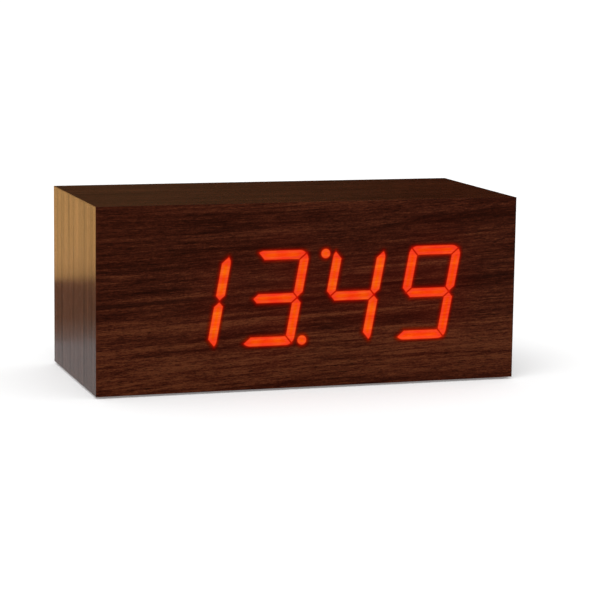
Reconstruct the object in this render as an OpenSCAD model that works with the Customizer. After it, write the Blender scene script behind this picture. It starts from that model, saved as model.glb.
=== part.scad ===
// Digital alarm clock: a veneered block whose red segments shine through its front veneer.
// Sizes are in millimetres. X runs along the width, the face looks along -Y and Z points up.
// The origin is under the middle of the case, on the surface that the foot pads stand on.

/* [Case] */
// Width of the case over its veneer
case_w = 207; // [200:1:260]
// Depth of the case, from its face to its back edges
case_d = 94; // [76:1:140]
// Height of the case without its foot pads
case_h = 88; // [86:1:130]
// Thickness of the fibreboard
board_t = 6; // [4:0.5:7]
// Thickness of the veneer
veneer_t = 0.5; // [0.3:0.1:0.8]
// How far the back panel sits inside the back edges
back_recess = 2; // [1.8:0.1:5]
// Gap all round a panel or cover that lifts out
panel_gap = 0.3; // [0.2:0.05:0.5]
// Side of the square corner blocks
block_w = 14; // [10:0.5:16]
// Length of the corner blocks
block_l = 24; // [18:1:30]
// Radius of a foot pad
pad_r = 6; // [4:0.5:10]
// Thickness of a foot pad
pad_t = 1; // [0.5:0.1:3]
// Distance from the case's edges to the middle of a pad
pad_inset = 16; // [12:1:30]

/* [Digits] */
// Figures shown
shown = [1, 3, 4, 9]; // [0:1:9]
// Height of a digit
digit_h = 45.7; // [40:0.1:50]
// Width of a digit, measured level
digit_w = 27; // [24:0.1:29]
// Distance between the middles of neighbouring digits
digit_pitch = 38.1; // [37:0.1:42]
// Sideways lean of a digit for each millimetre of height
digit_lean = 0.18; // [0:0.01:0.2]
// Rounding of a digit's outer corners
digit_round = 4; // [1:0.1:5]
// Width of a segment
segment_w = 5; // [4:0.1:6]
// Gap between adjoining segments
segment_gap = 0.35; // [0.2:0.05:0.8]
// Radius of a dot
dot_r = 2.5; // [1.5:0.1:2.8]
// Sideways distance from a digit's middle to its dot
dot_x = 13.5; // [13:0.1:15]
// Distance that a dot lies below its digit's middle
dot_z = 20.4; // [18:0.1:22]
// Shift of the four digits to the right of the case's middle
digits_right = 1; // [-4:0.1:4]
// Shift of the four digits below the case's middle
digits_down = 0.8; // [-4:0.1:4]

/* [Digit modules] */
// Height of a digit module
module_h = 56; // [54:0.1:58]
// Depth of a module's housing, without its board
module_t = 10.4; // [8:0.1:12]
// Gap between neighbouring modules
module_gap = 0.1; // [0.05:0.05:0.5]
// Clearance of the modules in the front board's window
window_gap = 0.3; // [0.1:0.1:1]
// Gap round a filled segment and round a lit patch of veneer
fill_gap = 0.05; // [0.02:0.01:0.1]
// Length of the side of a light chip
chip_w = 1.6; // [0.8:0.1:2]
// Thickness of a light chip
chip_t = 0.6; // [0.4:0.1:1]
// Width of a square module pin
pin_w = 0.5; // [0.4:0.05:0.6]
// Distance between the two rows of pins
pin_rows = 50.8; // [48:0.1:52]
// Distance between neighbouring pins
pin_pitch = 2.54; // [2:0.01:3]
// How far a pin stands out behind the display board
pin_out = 1.2; // [0.8:0.1:2]

/* [Circuit boards] */
// Thickness of the circuit boards
pcb_t = 1.6; // [1:0.1:2]
// Width of the display board
display_pcb_w = 172; // [170:1:176]
// Height of the display board
display_pcb_h = 62; // [58:1:66]
// Width of the control board
control_pcb_w = 88; // [84:1:92]
// Height of the control board
control_pcb_h = 44; // [40:1:48]
// Wood or plastic left beyond the tip of a board screw
screw_cover = 1.6; // [1:0.1:2.5]
// Radius of a board screw
board_screw_r = 1.2; // [1:0.05:1.4]
// Radial clearance of a screw in the board that it holds
screw_gap = 0.2; // [0.1:0.05:0.4]
// Radial clearance of a screw in the hole that it bites into
pilot_gap = 0.05; // [0.02:0.01:0.1]
// Outside radius of the spacers and posts
spacer_r = 3; // [2.6:0.1:3.4]
// Width of the ribbon cable
ribbon_w = 12.7; // [10:0.1:16]
// Thickness of the ribbon cable
ribbon_t = 0.9; // [0.6:0.1:1.2]
// Sideways swing of the ribbon cable's slack
ribbon_swing = 7; // [3:0.5:9]

/* [Control panel] */
// Middle of the control panel, right of the case's middle as seen from the front
controls_x = 47; // [47:0.5:49]
// Width of the control panel's flange
controls_w = 92; // [90:1:93]
// Height of the control panel's flange
controls_h = 34; // [32:1:38]
// Thickness of the plastic flanges
flange_t = 1.5; // [1.2:0.1:1.8]
// Thickness of the plastic walls
plastic_t = 1.5; // [1.2:0.1:1.8]
// Rounding of the flanges' corners
flange_corner_r = 3; // [1:0.5:5]
// Width of the recess in the control panel
recess_w = 75; // [74:0.5:76]
// Height of the recess in the control panel
recess_h = 25; // [24:0.5:27]
// Depth of the recess in the control panel
recess_d = 5; // [4.5:0.1:6]
// Rounding of the recess's corners
recess_corner_r = 2; // [1:0.5:4]
// Distance from the recess floor to the control board
post_l = 9; // [9:0.1:11]
// Radius of a button
button_r = 3.3; // [2.8:0.1:3.6]
// Distance between neighbouring buttons
button_pitch = 10; // [9.6:0.1:10.4]
// How far a button stands out of the recess floor
button_out = 1.5; // [1:0.1:2]
// Travel of a button
button_travel = 0.6; // [0.3:0.1:0.8]
// Radial clearance of a button in its hole
button_gap = 0.2; // [0.15:0.05:0.3]
// Travel of the slide switch
switch_travel = 2; // [1.5:0.1:3]
// Inside radius of the power inlet
inlet_r = 3.15; // [3:0.05:3.3]
// Radius of the power inlet's centre pin
inlet_pin_r = 1; // [0.8:0.05:1.2]
// Depth of the power inlet
inlet_d = 9; // [8:0.1:9.5]

/* [Battery box] */
// Middle of the battery box, left of the case's middle as seen from the front
battery_x = 48; // [46:0.5:49]
// Diameter of a cell
cell_d = 10.5; // [9.5:0.1:10.6]
// Length of a cell with its button end
cell_l = 44.5; // [40:0.1:45]
// Gap between neighbouring cells
cell_gap = 0.6; // [0.4:0.1:0.8]
// Length of a contact spring with the cell in place
spring_l = 4; // [3:0.1:5]
// Thickness of a contact plate
contact_t = 0.4; // [0.2:0.1:0.5]
// Thickness of the battery door
door_t = 1.8; // [1.6:0.1:2.2]
// Radius of the battery door's rounded hinge edge
knuckle_r = 1.6; // [1.6:0.1:1.8]
// Radius of the door's hinge pins
hinge_pin_r = 0.9; // [0.7:0.05:1]
// Radial clearance of the hinge pins
hinge_gap = 0.07; // [0.04:0.01:0.1]
// Length of a hinge pin
hinge_pin_l = 1.2; // [0.8:0.1:1.3]

/* [Hidden] */
$fn = 48;
tiny = 0.01;

// Case
half_w = case_w / 2;
face_y = -case_d / 2;
rear_y = case_d / 2;
case_z0 = pad_t;
case_z1 = pad_t + case_h;
mid_z = pad_t + case_h / 2;
shell_t = veneer_t + board_t;
inner_w = case_w - 2 * shell_t;
inner_h = case_h - 2 * shell_t;
front_inner_y = face_y + shell_t;
panel_y = rear_y - back_recess;
panel_inner_y = panel_y - shell_t;
back_w = inner_w - 2 * panel_gap;
back_h = inner_h - 2 * panel_gap;
band_joint = 0.1;
block_x = inner_w / 2 - block_w / 2;
block_z = inner_h / 2 - block_w / 2;
case_screw_r = 1.5;
case_screw_l = 16;
case_head_r = 3;
case_head_t = 1.7;
case_head_sink = 0.1;

// Display
digits_x = digits_right;
digits_z = mid_z - digits_down;
digit_count = len(shown);
module_w = digit_pitch - module_gap;
lit_y = face_y + veneer_t;
module_rear_y = lit_y + module_t;
digit_board_rear_y = module_rear_y + pcb_t;
display_pcb_y = digit_board_rear_y;
display_rear_y = display_pcb_y + pcb_t;
window_w = digit_count * digit_pitch - module_gap + 2 * window_gap;
window_h = module_h + 2 * window_gap;
spacer_edge = spacer_r + 1;
spacer_x = display_pcb_w / 2 - spacer_edge;
spacer_z = display_pcb_h / 2 - spacer_edge;
board_head_r = 2.4;
board_head_t = 1.8;
turned_digit = 2;
chip_gap = 0.2;
display_screw_l = display_rear_y - lit_y - screw_cover;
pilot_end = 0.3;
// Segments that each figure lights, by the usual letters
FIGURES = ["abcdef", "bc", "abdeg", "abcdg", "bcfg", "acdfg", "acdefg", "abc", "abcdefg", "abcdfg"];
SEGMENTS = ["a", "b", "c", "d", "e", "f", "g"];

// Controls
flange_y = panel_y + flange_t;
controls_floor_y = flange_y - recess_d;
controls_floor_inner_y = controls_floor_y - plastic_t;
control_pcb_y = controls_floor_inner_y - post_l;
control_pcb_front_y = control_pcb_y - pcb_t;
control_screw_l = controls_floor_y - screw_cover - control_pcb_front_y;
post_r = 2.2;
post_edge = post_r + 0.3;
post_x = recess_w / 2 - post_edge;
post_z = recess_h / 2 - post_edge;
flange_screw_r = 1;
flange_screw_l = 7;
flange_head_r = 1.9;
flange_head_t = 1;
sink_gap = 0.1;
flange_screw_edge = 3;
controls_screw_x = controls_w / 2 - flange_screw_edge;
button_first_x = -5;
button_flange_r = button_r + 1;
button_flange_t = 1.2;
button_stem_r = 1.6;
stem_gap = 0.15;
stem_end = 0.3;
switch_w = 6;
switch_t = 3.5;
switch_bore_d = 1.5;
button_rest_gap = 0.3;
slide_x = -15;
slide_w = 8.6;
slide_h = 4.4;
slide_t = 4;
slide_slot_d = 1;
knob_w = 2;
knob_gap = 0.3;
inlet_x = -28.5;
inlet_body_r = 5;
inlet_neck_r = 4;
inlet_fit = 0.1;
buzzer_x = 26;
buzzer_z = -4;
buzzer_r = 6;
buzzer_t = 7.5;
vent_r = 0.8;
vent_pitch = 3;
mic_x = 28.5;
mic_z = 7.5;
mic_r = 3;
mic_t = 5;
mic_hole_r = 0.75;
mcu_x = 5;
crystal_z = 14;
coin_x = -23;
coin_r = 10;
coin_t = 3.2;
coin_wall = 1.2;
ribbon_x = 28;
ribbon_straight = 2;
socket_w = 5;
socket_t = 6;

// Battery box
door_gap = panel_gap;
door_rest_gap = 0.2;
cell_slack = 0.2;
cell_door_gap = 0.4;
cell_floor_gap = 0.1;
pocket_w = cell_l + spring_l + 2 * contact_t + cell_slack;
pocket_h = 4 * cell_d + 5 * cell_gap;
door_inner_y = flange_y - door_t;
cell_y = door_inner_y - cell_door_gap - cell_d / 2;
pocket_y = cell_y - cell_d / 2 - cell_floor_gap;
tray_base_y = pocket_y - plastic_t;
hinge_space = 2 * knuckle_r + 2 * door_gap;
pocket_drop = hinge_space + door_rest_gap;
rest_strip = 1;
side_ledge = 2.25;
seat_w = pocket_w + 2 * side_ledge;
seat_h = pocket_h + pocket_drop + rest_strip;
seat_y = door_inner_y - door_rest_gap;
seat_z0 = mid_z - seat_h / 2;
pocket_z0 = seat_z0 + pocket_drop;
step_y = flange_y - 2 * knuckle_r - door_gap - plastic_t;
step_w = seat_w + 2 * plastic_t;
step_h = seat_h + 2 * plastic_t;
flange_rim = 5;
tray_flange_w = step_w + 2 * flange_rim;
tray_flange_h = step_h + 2 * flange_rim;
tray_screw_x = tray_flange_w / 2 - flange_rim / 2;
hinge_y = flange_y - knuckle_r;
hinge_z = seat_z0 + knuckle_r + door_gap;
door_w = seat_w - 2 * door_gap;
door_z1 = seat_z0 + seat_h - door_gap;
notch_w = 14;
notch_d = 2;
terminal_out = 2;
tab_w = 3;
tab_gap = 0.1;
contact_over = 4;

// Colours
walnut = [0.24, 0.11, 0.06];
fibreboard = [0.62, 0.48, 0.33];
pine = [0.78, 0.62, 0.40];
black = [0.07, 0.07, 0.08];
board_green = [0.05, 0.30, 0.16];
metal = [0.72, 0.73, 0.75];
glow = [1.0, 0.28, 0.02];

// Helpers
module block(x, z, w, h, y0, y1) {
    translate([x - w / 2, y0, z - h / 2]) cube([w, y1 - y0, h]);
}

module rod(x, z, r, y0, y1) {
    translate([x, y0, z]) rotate([-90, 0, 0]) cylinder(h = y1 - y0, r = r);
}

module extrude_y(y0, y1) {
    translate([0, y1, 0]) rotate([90, 0, 0]) linear_extrude(y1 - y0) children();
}

// A block whose four edges along Y are rounded
module soft_block(x, z, w, h, r, y0, y1) {
    block(x, z, w - 2 * r, h, y0, y1);
    block(x, z, w, h - 2 * r, y0, y1);
    for (sx = [-1, 1]) for (sz = [-1, 1])
        rod(x + sx * (w / 2 - r), z + sz * (h / 2 - r), r, y0, y1);
}

module rod_x(x0, x1, y, z, r) {
    translate([x0, y, z]) rotate([0, 90, 0]) cylinder(h = x1 - x0, r = r);
}

// A countersunk screw: its head's flat top is at y1 and its shank points to -Y
module countersunk(x, z, r, head_r, head_t, l, y1) {
    translate([x, y1, z]) rotate([90, 0, 0]) {
        cylinder(h = l, r = r);
        cylinder(h = head_t, r1 = head_r, r2 = r);
    }
}

// A pan-head screw: its head sits at y on the side named by way and its shank points the other way
module pan_screw(x, z, y, way, l) {
    translate([x, y, z]) rotate([way * -90, 0, 0]) {
        cylinder(h = board_head_t, r = board_head_r);
        translate([0, 0, -l]) cylinder(h = l + tiny, r = board_screw_r);
    }
}

// Digit outlines
function flipped(ps, sx, sz) = [for (p = ps) [sx * p[0], sz * p[1]]];

function leaned(ps) = [for (p = ps) [p[0] + digit_lean * p[1], p[1]]];

// An upright outline of one segment, drawn in by inset on every side
function segment_outline(s, inset) =
    let (
        w = digit_w / 2, h = digit_h / 2,
        x1 = w - inset, x0 = w - segment_w + inset, xm = w - segment_w / 2,
        z1 = h - inset, z0 = h - segment_w + inset, zh = segment_w / 2 - inset,
        k = (segment_gap + 2 * inset) / sqrt(2),
        side = [
            [x0, x0 + h - w - k], [x1, x1 + h - w - k], [x1, x1 - xm + k], [xm, k],
            [x0, xm - x0 + k]
        ],
        bar = [
            [z1 - h + w - k, z1], [z0 - h + w - k, z0],
            [-(z0 - h + w - k), z0], [-(z1 - h + w - k), z1]
        ]
    )
    s == "a" ? bar :
    s == "b" ? side :
    s == "c" ? flipped(side, 1, -1) :
    s == "d" ? flipped(bar, 1, -1) :
    s == "e" ? flipped(side, -1, -1) :
    s == "f" ? flipped(side, -1, 1) :
    [
        [xm - k, 0], [xm - k - zh, zh], [-(xm - k - zh), zh],
        [-(xm - k), 0], [-(xm - k - zh), -zh], [xm - k - zh, -zh]
    ];

function unit(v) = v / norm(v);

// Points of an arc of radius r that rounds the corner b between a and c
function rounded(a, b, c, r) =
    let (
        u = unit(a - b), v = unit(c - b), half = acos(u * v) / 2,
        middle = b + unit(u + v) * r / sin(half),
        from = b + u * r / tan(half) - middle, to = b + v * r / tan(half) - middle,
        a0 = atan2(from[1], from[0]), turn = atan2(from[0] * to[1] - from[1] * to[0], from * to)
    )
    [for (i = [0:8]) middle + r * [cos(a0 + turn * i / 8), sin(a0 + turn * i / 8)]];

// The leaned outer outline of a whole digit
function digit_outline(inset) =
    let (
        w = digit_w / 2 - inset, h = digit_h / 2 - inset,
        c = leaned([[w, h], [-w, h], [-w, -h], [w, -h]])
    )
    [for (i = [0:3]) each rounded(c[(i + 3) % 4], c[i], c[(i + 1) % 4], digit_round - inset)];

module segment(s, inset) {
    intersection() {
        polygon(leaned(segment_outline(s, inset)));
        polygon(digit_outline(inset));
    }
}

function digit_x(i) = digits_x + (i - (digit_count - 1) / 2) * digit_pitch;

function is_lit(i, s) = len(search(s, FIGURES[shown[i]])) > 0;

// The two dots between the middle digits are the left one's own dot and the turned module's dot
function dot_side(i) = i == turned_digit ? -1 : 1;

function dot_lit(i) = i == turned_digit - 1 || i == turned_digit;

module dot(i, inset) {
    translate([dot_side(i) * dot_x, -dot_side(i) * dot_z]) circle(r = dot_r - inset);
}

module digit_segments_2d(i, inset) {
    for (s = SEGMENTS) segment(s, inset);
    dot(i, inset);
}

module lit_2d(inset) {
    for (i = [0:digit_count - 1]) translate([digit_x(i), digits_z]) {
        for (s = SEGMENTS) if (is_lit(i, s)) segment(s, inset);
        if (dot_lit(i)) dot(i, inset);
    }
}

// Tubes that follow a line of points
function heading(ps, i) = unit(ps[min(i + 1, len(ps) - 1)] - ps[max(i - 1, 0)]);

function tube_ring(p, t, up, r, n) =
    let (across = unit(cross(t, up)), over = cross(across, t))
    [for (j = [0:n - 1]) p + r * (cos(360 * j / n) * across + sin(360 * j / n) * over)];

module tube(ps, ups, r, n) {
    m = len(ps);
    rings = [for (i = [0:m - 1]) each tube_ring(ps[i], heading(ps, i), ups[i], r, n)];
    sides = [
        for (i = [0:m - 2]) for (j = [0:n - 1])
            let (a = i * n + j, b = i * n + (j + 1) % n)
            each [[a, b, b + n], [a, b + n, a + n]]
    ];
    first = [for (j = [1:n - 2]) [0, j + 1, j]];
    last = [for (j = [1:n - 2]) [(m - 1) * n, (m - 1) * n + j, (m - 1) * n + j + 1]];
    polyhedron(points = rings, faces = concat(sides, first, last));
}

// Case boards
module front_board() {
    color(fibreboard) difference() {
        block(0, mid_z, case_w - 2 * veneer_t, case_h - 2 * veneer_t, lit_y, front_inner_y);
        block(digits_x, digits_z, window_w, window_h, lit_y - 1, front_inner_y + 1);
        for (sx = [-1, 1]) for (sz = [-1, 1])
            rod(digits_x + sx * spacer_x, digits_z + sz * spacer_z, board_screw_r + pilot_gap,
                display_rear_y - display_screw_l - pilot_end, front_inner_y + 1);
    }
}

// One mitred side of a frame round the case, by its place: top, bottom, left or right.
// The top and bottom sides end short of the mitre by the joint.
module mitred(place, joint, y0, y1) {
    out_w = half_w - veneer_t;
    out_h = case_h / 2 - veneer_t;
    in_w = inner_w / 2;
    in_h = inner_h / 2;
    out_x = out_w - joint;
    in_x = in_w - joint;
    sides = [
        [[-out_x, out_h], [out_x, out_h], [in_x, in_h], [-in_x, in_h]],
        [[-out_x, -out_h], [-in_x, -in_h], [in_x, -in_h], [out_x, -out_h]],
        [[-out_w, -out_h], [-out_w, out_h], [-in_w, in_h], [-in_w, -in_h]],
        [[out_w, -out_h], [in_w, -in_h], [in_w, in_h], [out_w, out_h]]
    ];
    translate([0, 0, mid_z]) extrude_y(y0, y1) polygon(sides[place]);
}

module case_side(place) {
    mitred(place, 0, front_inner_y, rear_y - veneer_t);
}

module top_board() {
    color(fibreboard) case_side(0);
}

module bottom_board() {
    color(fibreboard) case_side(1);
}

module left_board() {
    color(fibreboard) case_side(2);
}

module right_board() {
    color(fibreboard) case_side(3);
}

module back_holes(y0, y1) {
    block(controls_x, mid_z, recess_w + 2 * plastic_t + 2 * panel_gap,
        recess_h + 2 * plastic_t + 2 * panel_gap, y0, y1);
    block(-battery_x, mid_z, step_w + 2 * panel_gap, step_h + 2 * panel_gap, y0, y1);
    for (sx = [-1, 1]) for (sz = [-1, 1]) {
        rod(sx * block_x, mid_z + sz * block_z, case_screw_r + screw_gap, y0, y1);
        countersunk(sx * block_x, mid_z + sz * block_z, case_screw_r, case_head_r + screw_gap,
            case_head_t + screw_gap, case_head_t + screw_gap + tiny, panel_y + tiny);
    }
    for (x = flange_screw_places())
        rod(x, mid_z, flange_screw_r + pilot_gap, flange_y - flange_screw_l - pilot_end, y1);
}

function flange_screw_places() = [
    controls_x - controls_screw_x, controls_x + controls_screw_x,
    -battery_x - tray_screw_x, -battery_x + tray_screw_x
];

module back_board() {
    color(fibreboard) difference() {
        block(0, mid_z, back_w, back_h, panel_inner_y, panel_y - veneer_t);
        back_holes(panel_inner_y - 1, panel_y + 1);
    }
}

module corner_blocks() {
    color(pine) for (sx = [-1, 1]) for (sz = [-1, 1]) difference() {
        block(sx * block_x, mid_z + sz * block_z, block_w, block_w,
            panel_inner_y - block_l, panel_inner_y);
        rod(sx * block_x, mid_z + sz * block_z, case_screw_r + pilot_gap,
            panel_y - case_head_sink - case_screw_l - pilot_end, panel_inner_y + 1);
    }
}

module back_screws() {
    slot_l = 3.4;
    slot_w = 0.7;
    slot_d = 1;
    color(metal) for (sx = [-1, 1]) for (sz = [-1, 1]) difference() {
        countersunk(sx * block_x, mid_z + sz * block_z, case_screw_r, case_head_r, case_head_t,
            case_screw_l, panel_y - case_head_sink);
        for (turn = [45, 135]) translate([sx * block_x, panel_y, mid_z + sz * block_z])
            rotate([0, turn, 0]) cube([slot_l, 2 * slot_d, slot_w], center = true);
    }
}

module foot_pads() {
    color(black) for (sx = [-1, 1]) for (sy = [-1, 1])
        translate([sx * (half_w - pad_inset), sy * (case_d / 2 - pad_inset), 0])
            cylinder(h = pad_t, r = pad_r);
}

// Veneer
module veneer_front() {
    color(walnut) difference() {
        block(0, mid_z, case_w, case_h, face_y, lit_y);
        extrude_y(face_y - 1, lit_y + 1) lit_2d(0);
    }
}

module lit_veneer() {
    color(glow) extrude_y(face_y, lit_y) lit_2d(fill_gap);
}

module veneer_top() {
    color(walnut) block(0, case_z1 - veneer_t / 2, case_w, veneer_t, lit_y, rear_y);
}

module veneer_bottom() {
    color(walnut) block(0, case_z0 + veneer_t / 2, case_w, veneer_t, lit_y, rear_y);
}

module veneer_left() {
    color(walnut) block(-half_w + veneer_t / 2, mid_z, veneer_t, case_h - 2 * veneer_t, lit_y, rear_y);
}

module veneer_right() {
    color(walnut) block(half_w - veneer_t / 2, mid_z, veneer_t, case_h - 2 * veneer_t, lit_y, rear_y);
}

module veneer_back() {
    color(walnut) difference() {
        block(0, mid_z, back_w, back_h, panel_y - veneer_t, panel_y);
        back_holes(panel_y - veneer_t - 1, panel_y + 1);
    }
}

module back_edge_bands() {
    color(walnut) for (place = [0:3]) mitred(place, band_joint, rear_y - veneer_t, rear_y);
}

// Digit modules
module digit_housing(i) {
    color(black) translate([digit_x(i), 0, digits_z]) difference() {
        block(0, 0, module_w, module_h, lit_y, module_rear_y);
        extrude_y(lit_y - 1, module_rear_y + 1) digit_segments_2d(i, 0);
    }
}

module digit_segments(i) {
    color([0.92, 0.62, 0.52]) translate([digit_x(i), 0, digits_z])
        extrude_y(lit_y, module_rear_y - chip_t - chip_gap) digit_segments_2d(i, fill_gap);
}

module digit_boards() {
    color(board_green) for (i = [0:digit_count - 1])
        block(digit_x(i), digits_z, module_w, module_h, module_rear_y, digit_board_rear_y);
}

module light_chip(x, z) {
    block(x, z, chip_w, chip_w, module_rear_y - chip_t, module_rear_y);
}

// Two chips behind each segment and one behind each dot
module light_chips() {
    bar_x = digit_w / 4 - segment_w / 4;
    bar_z = (digit_h - segment_w) / 2;
    side_x = (digit_w - segment_w) / 2;
    color("gold") for (i = [0:digit_count - 1]) translate([digit_x(i), 0, digits_z]) {
        for (z = [-bar_z, 0, bar_z]) for (sx = [-1, 1])
            light_chip(sx * bar_x + digit_lean * z, z);
        for (sx = [-1, 1]) for (z = [-0.7, -0.3, 0.3, 0.7] * bar_z)
            light_chip(sx * side_x + digit_lean * z, z);
        light_chip(dot_side(i) * dot_x, -dot_side(i) * dot_z);
    }
}

module pin_places() {
    for (i = [0:digit_count - 1]) for (sz = [-1, 1]) for (j = [-2:2])
        translate([digit_x(i) + j * pin_pitch, 0, digits_z + sz * pin_rows / 2]) children();
}

module digit_pins() {
    color(metal) pin_places() block(0, 0, pin_w, pin_w, display_pcb_y, display_rear_y + pin_out);
}

module display_board() {
    color(board_green) difference() {
        block(digits_x, digits_z, display_pcb_w, display_pcb_h, display_pcb_y, display_rear_y);
        pin_places() rod(0, 0, pin_w * 0.9, display_pcb_y - 1, display_rear_y + 1);
        for (sx = [-1, 1]) for (sz = [-1, 1])
            rod(digits_x + sx * spacer_x, digits_z + sz * spacer_z, board_screw_r + screw_gap,
                display_pcb_y - 1, display_rear_y + 1);
    }
}

module display_spacers() {
    color(metal) for (sx = [-1, 1]) for (sz = [-1, 1]) difference() {
        rod(digits_x + sx * spacer_x, digits_z + sz * spacer_z, spacer_r,
            front_inner_y, display_pcb_y);
        rod(digits_x + sx * spacer_x, digits_z + sz * spacer_z, board_screw_r + screw_gap,
            front_inner_y - 1, display_pcb_y + 1);
    }
}

// A surface-mounted circuit with gull-wing legs on its two long sides, seated on the plane y
module chip_body(x, z, w, h, t, legs, y, way) {
    leg_pitch = 1.27;
    leg_w = 0.42;
    leg_t = 0.3;
    leg_out = 1.4;
    y0 = way > 0 ? y : y - t;
    translate([x, 0, z]) {
        block(0, 0, w, h, y0 + (way > 0 ? 0.1 : 0), y0 + t - (way > 0 ? 0 : 0.1));
        for (j = [0:legs / 2 - 1])
            block((j - (legs / 2 - 1) / 2) * leg_pitch, 0, leg_w, h + 2 * leg_out,
                way > 0 ? y : y - leg_t, way > 0 ? y + leg_t : y);
    }
}

module display_driver() {
    color(black) chip_body(digits_x - 30, digits_z, 17.9, 7.5, 2.3, 28, display_rear_y, 1);
}

module board_screws() {
    color(metal) for (sx = [-1, 1]) for (sz = [-1, 1]) {
        pan_screw(digits_x + sx * spacer_x, digits_z + sz * spacer_z, display_rear_y, 1,
            display_screw_l);
        pan_screw(controls_x + sx * post_x, mid_z + sz * post_z, control_pcb_front_y, -1,
            control_screw_l);
    }
}

// Ribbon cable and its two sockets
ribbon_y0 = display_rear_y + socket_t;
ribbon_y1 = control_pcb_front_y - socket_t;

// Middle line of the ribbon cable seen from above: an S whose ends run straight into the sockets
function ribbon_point(t) = [
    controls_x + ribbon_x + ribbon_swing * sin(360 * t) * (1 - cos(360 * t)) / 1.3,
    ribbon_y0 + ribbon_straight + (ribbon_y1 - ribbon_y0 - 2 * ribbon_straight) * t
];

module ribbon_cable() {
    steps = 32;
    middle = concat(
        [[controls_x + ribbon_x, ribbon_y0]],
        [for (i = [0:steps]) ribbon_point(i / steps)],
        [[controls_x + ribbon_x, ribbon_y1]]
    );
    n = len(middle);
    normals = [for (i = [0:n - 1]) let (t = heading(middle, i)) [t[1], -t[0]]];
    right = [for (i = [0:n - 1]) middle[i] + normals[i] * ribbon_t / 2];
    left = [for (i = [n - 1:-1:0]) middle[i] - normals[i] * ribbon_t / 2];
    color("gray") translate([0, 0, mid_z - ribbon_w / 2]) linear_extrude(ribbon_w)
        polygon(concat(right, left));
}

module ribbon_sockets() {
    color(black) {
        block(controls_x + ribbon_x, mid_z, socket_w, ribbon_w + 4, display_rear_y, ribbon_y0);
        block(controls_x + ribbon_x, mid_z, socket_w, ribbon_w + 4, ribbon_y1, control_pcb_front_y);
    }
}

// Control panel
function button_x(i) = controls_x + button_first_x + i * button_pitch;

module flange_screw_sink(x) {
    deep = flange_head_t + sink_gap;
    rod(x, mid_z, flange_screw_r + screw_gap, panel_y - 1, flange_y + 1);
    countersunk(x, mid_z, flange_screw_r, flange_head_r + sink_gap, deep, deep + tiny,
        flange_y + tiny);
}

module control_panel() {
    color(black) difference() {
        union() {
            soft_block(controls_x, mid_z, controls_w, controls_h, flange_corner_r, panel_y, flange_y);
            block(controls_x, mid_z, recess_w + 2 * plastic_t, recess_h + 2 * plastic_t,
                controls_floor_inner_y, panel_y + tiny);
            for (sx = [-1, 1]) for (sz = [-1, 1])
                rod(controls_x + sx * post_x, mid_z + sz * post_z, post_r, control_pcb_y,
                    controls_floor_inner_y + tiny);
        }
        soft_block(controls_x, mid_z, recess_w, recess_h, recess_corner_r, controls_floor_y,
            flange_y + 1);
        for (sx = [-1, 1]) {
            flange_screw_sink(controls_x + sx * controls_screw_x);
            for (sz = [-1, 1])
                rod(controls_x + sx * post_x, mid_z + sz * post_z, board_screw_r + pilot_gap,
                    control_pcb_y - 1, control_pcb_front_y + control_screw_l + pilot_end);
        }
        for (i = [0:2])
            rod(button_x(i), mid_z, button_r + button_gap, controls_floor_inner_y - 1,
                controls_floor_y + 1);
        block(controls_x + slide_x, mid_z, knob_w + switch_travel + 2 * knob_gap,
            knob_w + 2 * knob_gap, controls_floor_inner_y - 1, controls_floor_y + 1);
        rod(controls_x + inlet_x, mid_z, inlet_neck_r + inlet_fit, controls_floor_inner_y - 1,
            controls_floor_y + 1);
        for (p = [[0, 0], [1, 0], [-1, 0], [0, 1], [0, -1]])
            rod(controls_x + buzzer_x + p[0] * vent_pitch, mid_z + buzzer_z + p[1] * vent_pitch,
                vent_r, controls_floor_inner_y - 1, controls_floor_y + 1);
        rod(controls_x + mic_x, mid_z + mic_z, mic_hole_r, controls_floor_inner_y - 1,
            controls_floor_y + 1);
    }
}

module control_board() {
    color(board_green) difference() {
        block(controls_x, mid_z, control_pcb_w, control_pcb_h, control_pcb_front_y, control_pcb_y);
        for (sx = [-1, 1]) for (sz = [-1, 1])
            rod(controls_x + sx * post_x, mid_z + sz * post_z, board_screw_r + screw_gap,
                control_pcb_front_y - 1, control_pcb_y + 1);
    }
}

// A button cap in one piece with its flange and the plunger of its switch
module button(i) {
    stem_y = control_pcb_y + switch_t - switch_bore_d + button_travel + stem_end;
    flange_y1 = controls_floor_inner_y - button_rest_gap;
    top_y = controls_floor_y + button_out;
    edge = 0.4;
    color([0.16, 0.16, 0.17]) translate([button_x(i), 0, mid_z]) rotate([-90, 0, 0])
        rotate_extrude() polygon([
            [0, stem_y], [button_stem_r, stem_y], [button_stem_r, flange_y1 - button_flange_t],
            [button_flange_r, flange_y1 - button_flange_t], [button_flange_r, flange_y1],
            [button_r, flange_y1], [button_r, top_y - edge], [button_r - edge, top_y],
            [button_r * 0.5, top_y - 0.15], [0, top_y - 0.25]
        ]);
}

module button_switches() {
    color([0.75, 0.76, 0.78]) for (i = [0:2]) difference() {
        block(button_x(i), mid_z, switch_w, switch_w, control_pcb_y, control_pcb_y + switch_t);
        rod(button_x(i), mid_z, button_stem_r + stem_gap,
            control_pcb_y + switch_t - switch_bore_d, control_pcb_y + switch_t + 1);
    }
}

module slide_switch() {
    color(metal) difference() {
        block(controls_x + slide_x, mid_z, slide_w, slide_h, control_pcb_y, control_pcb_y + slide_t);
        block(controls_x + slide_x, mid_z, knob_w + switch_travel + 2 * knob_gap,
            knob_w + 2 * knob_gap, control_pcb_y + slide_t - slide_slot_d,
            control_pcb_y + slide_t + 1);
    }
}

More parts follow.
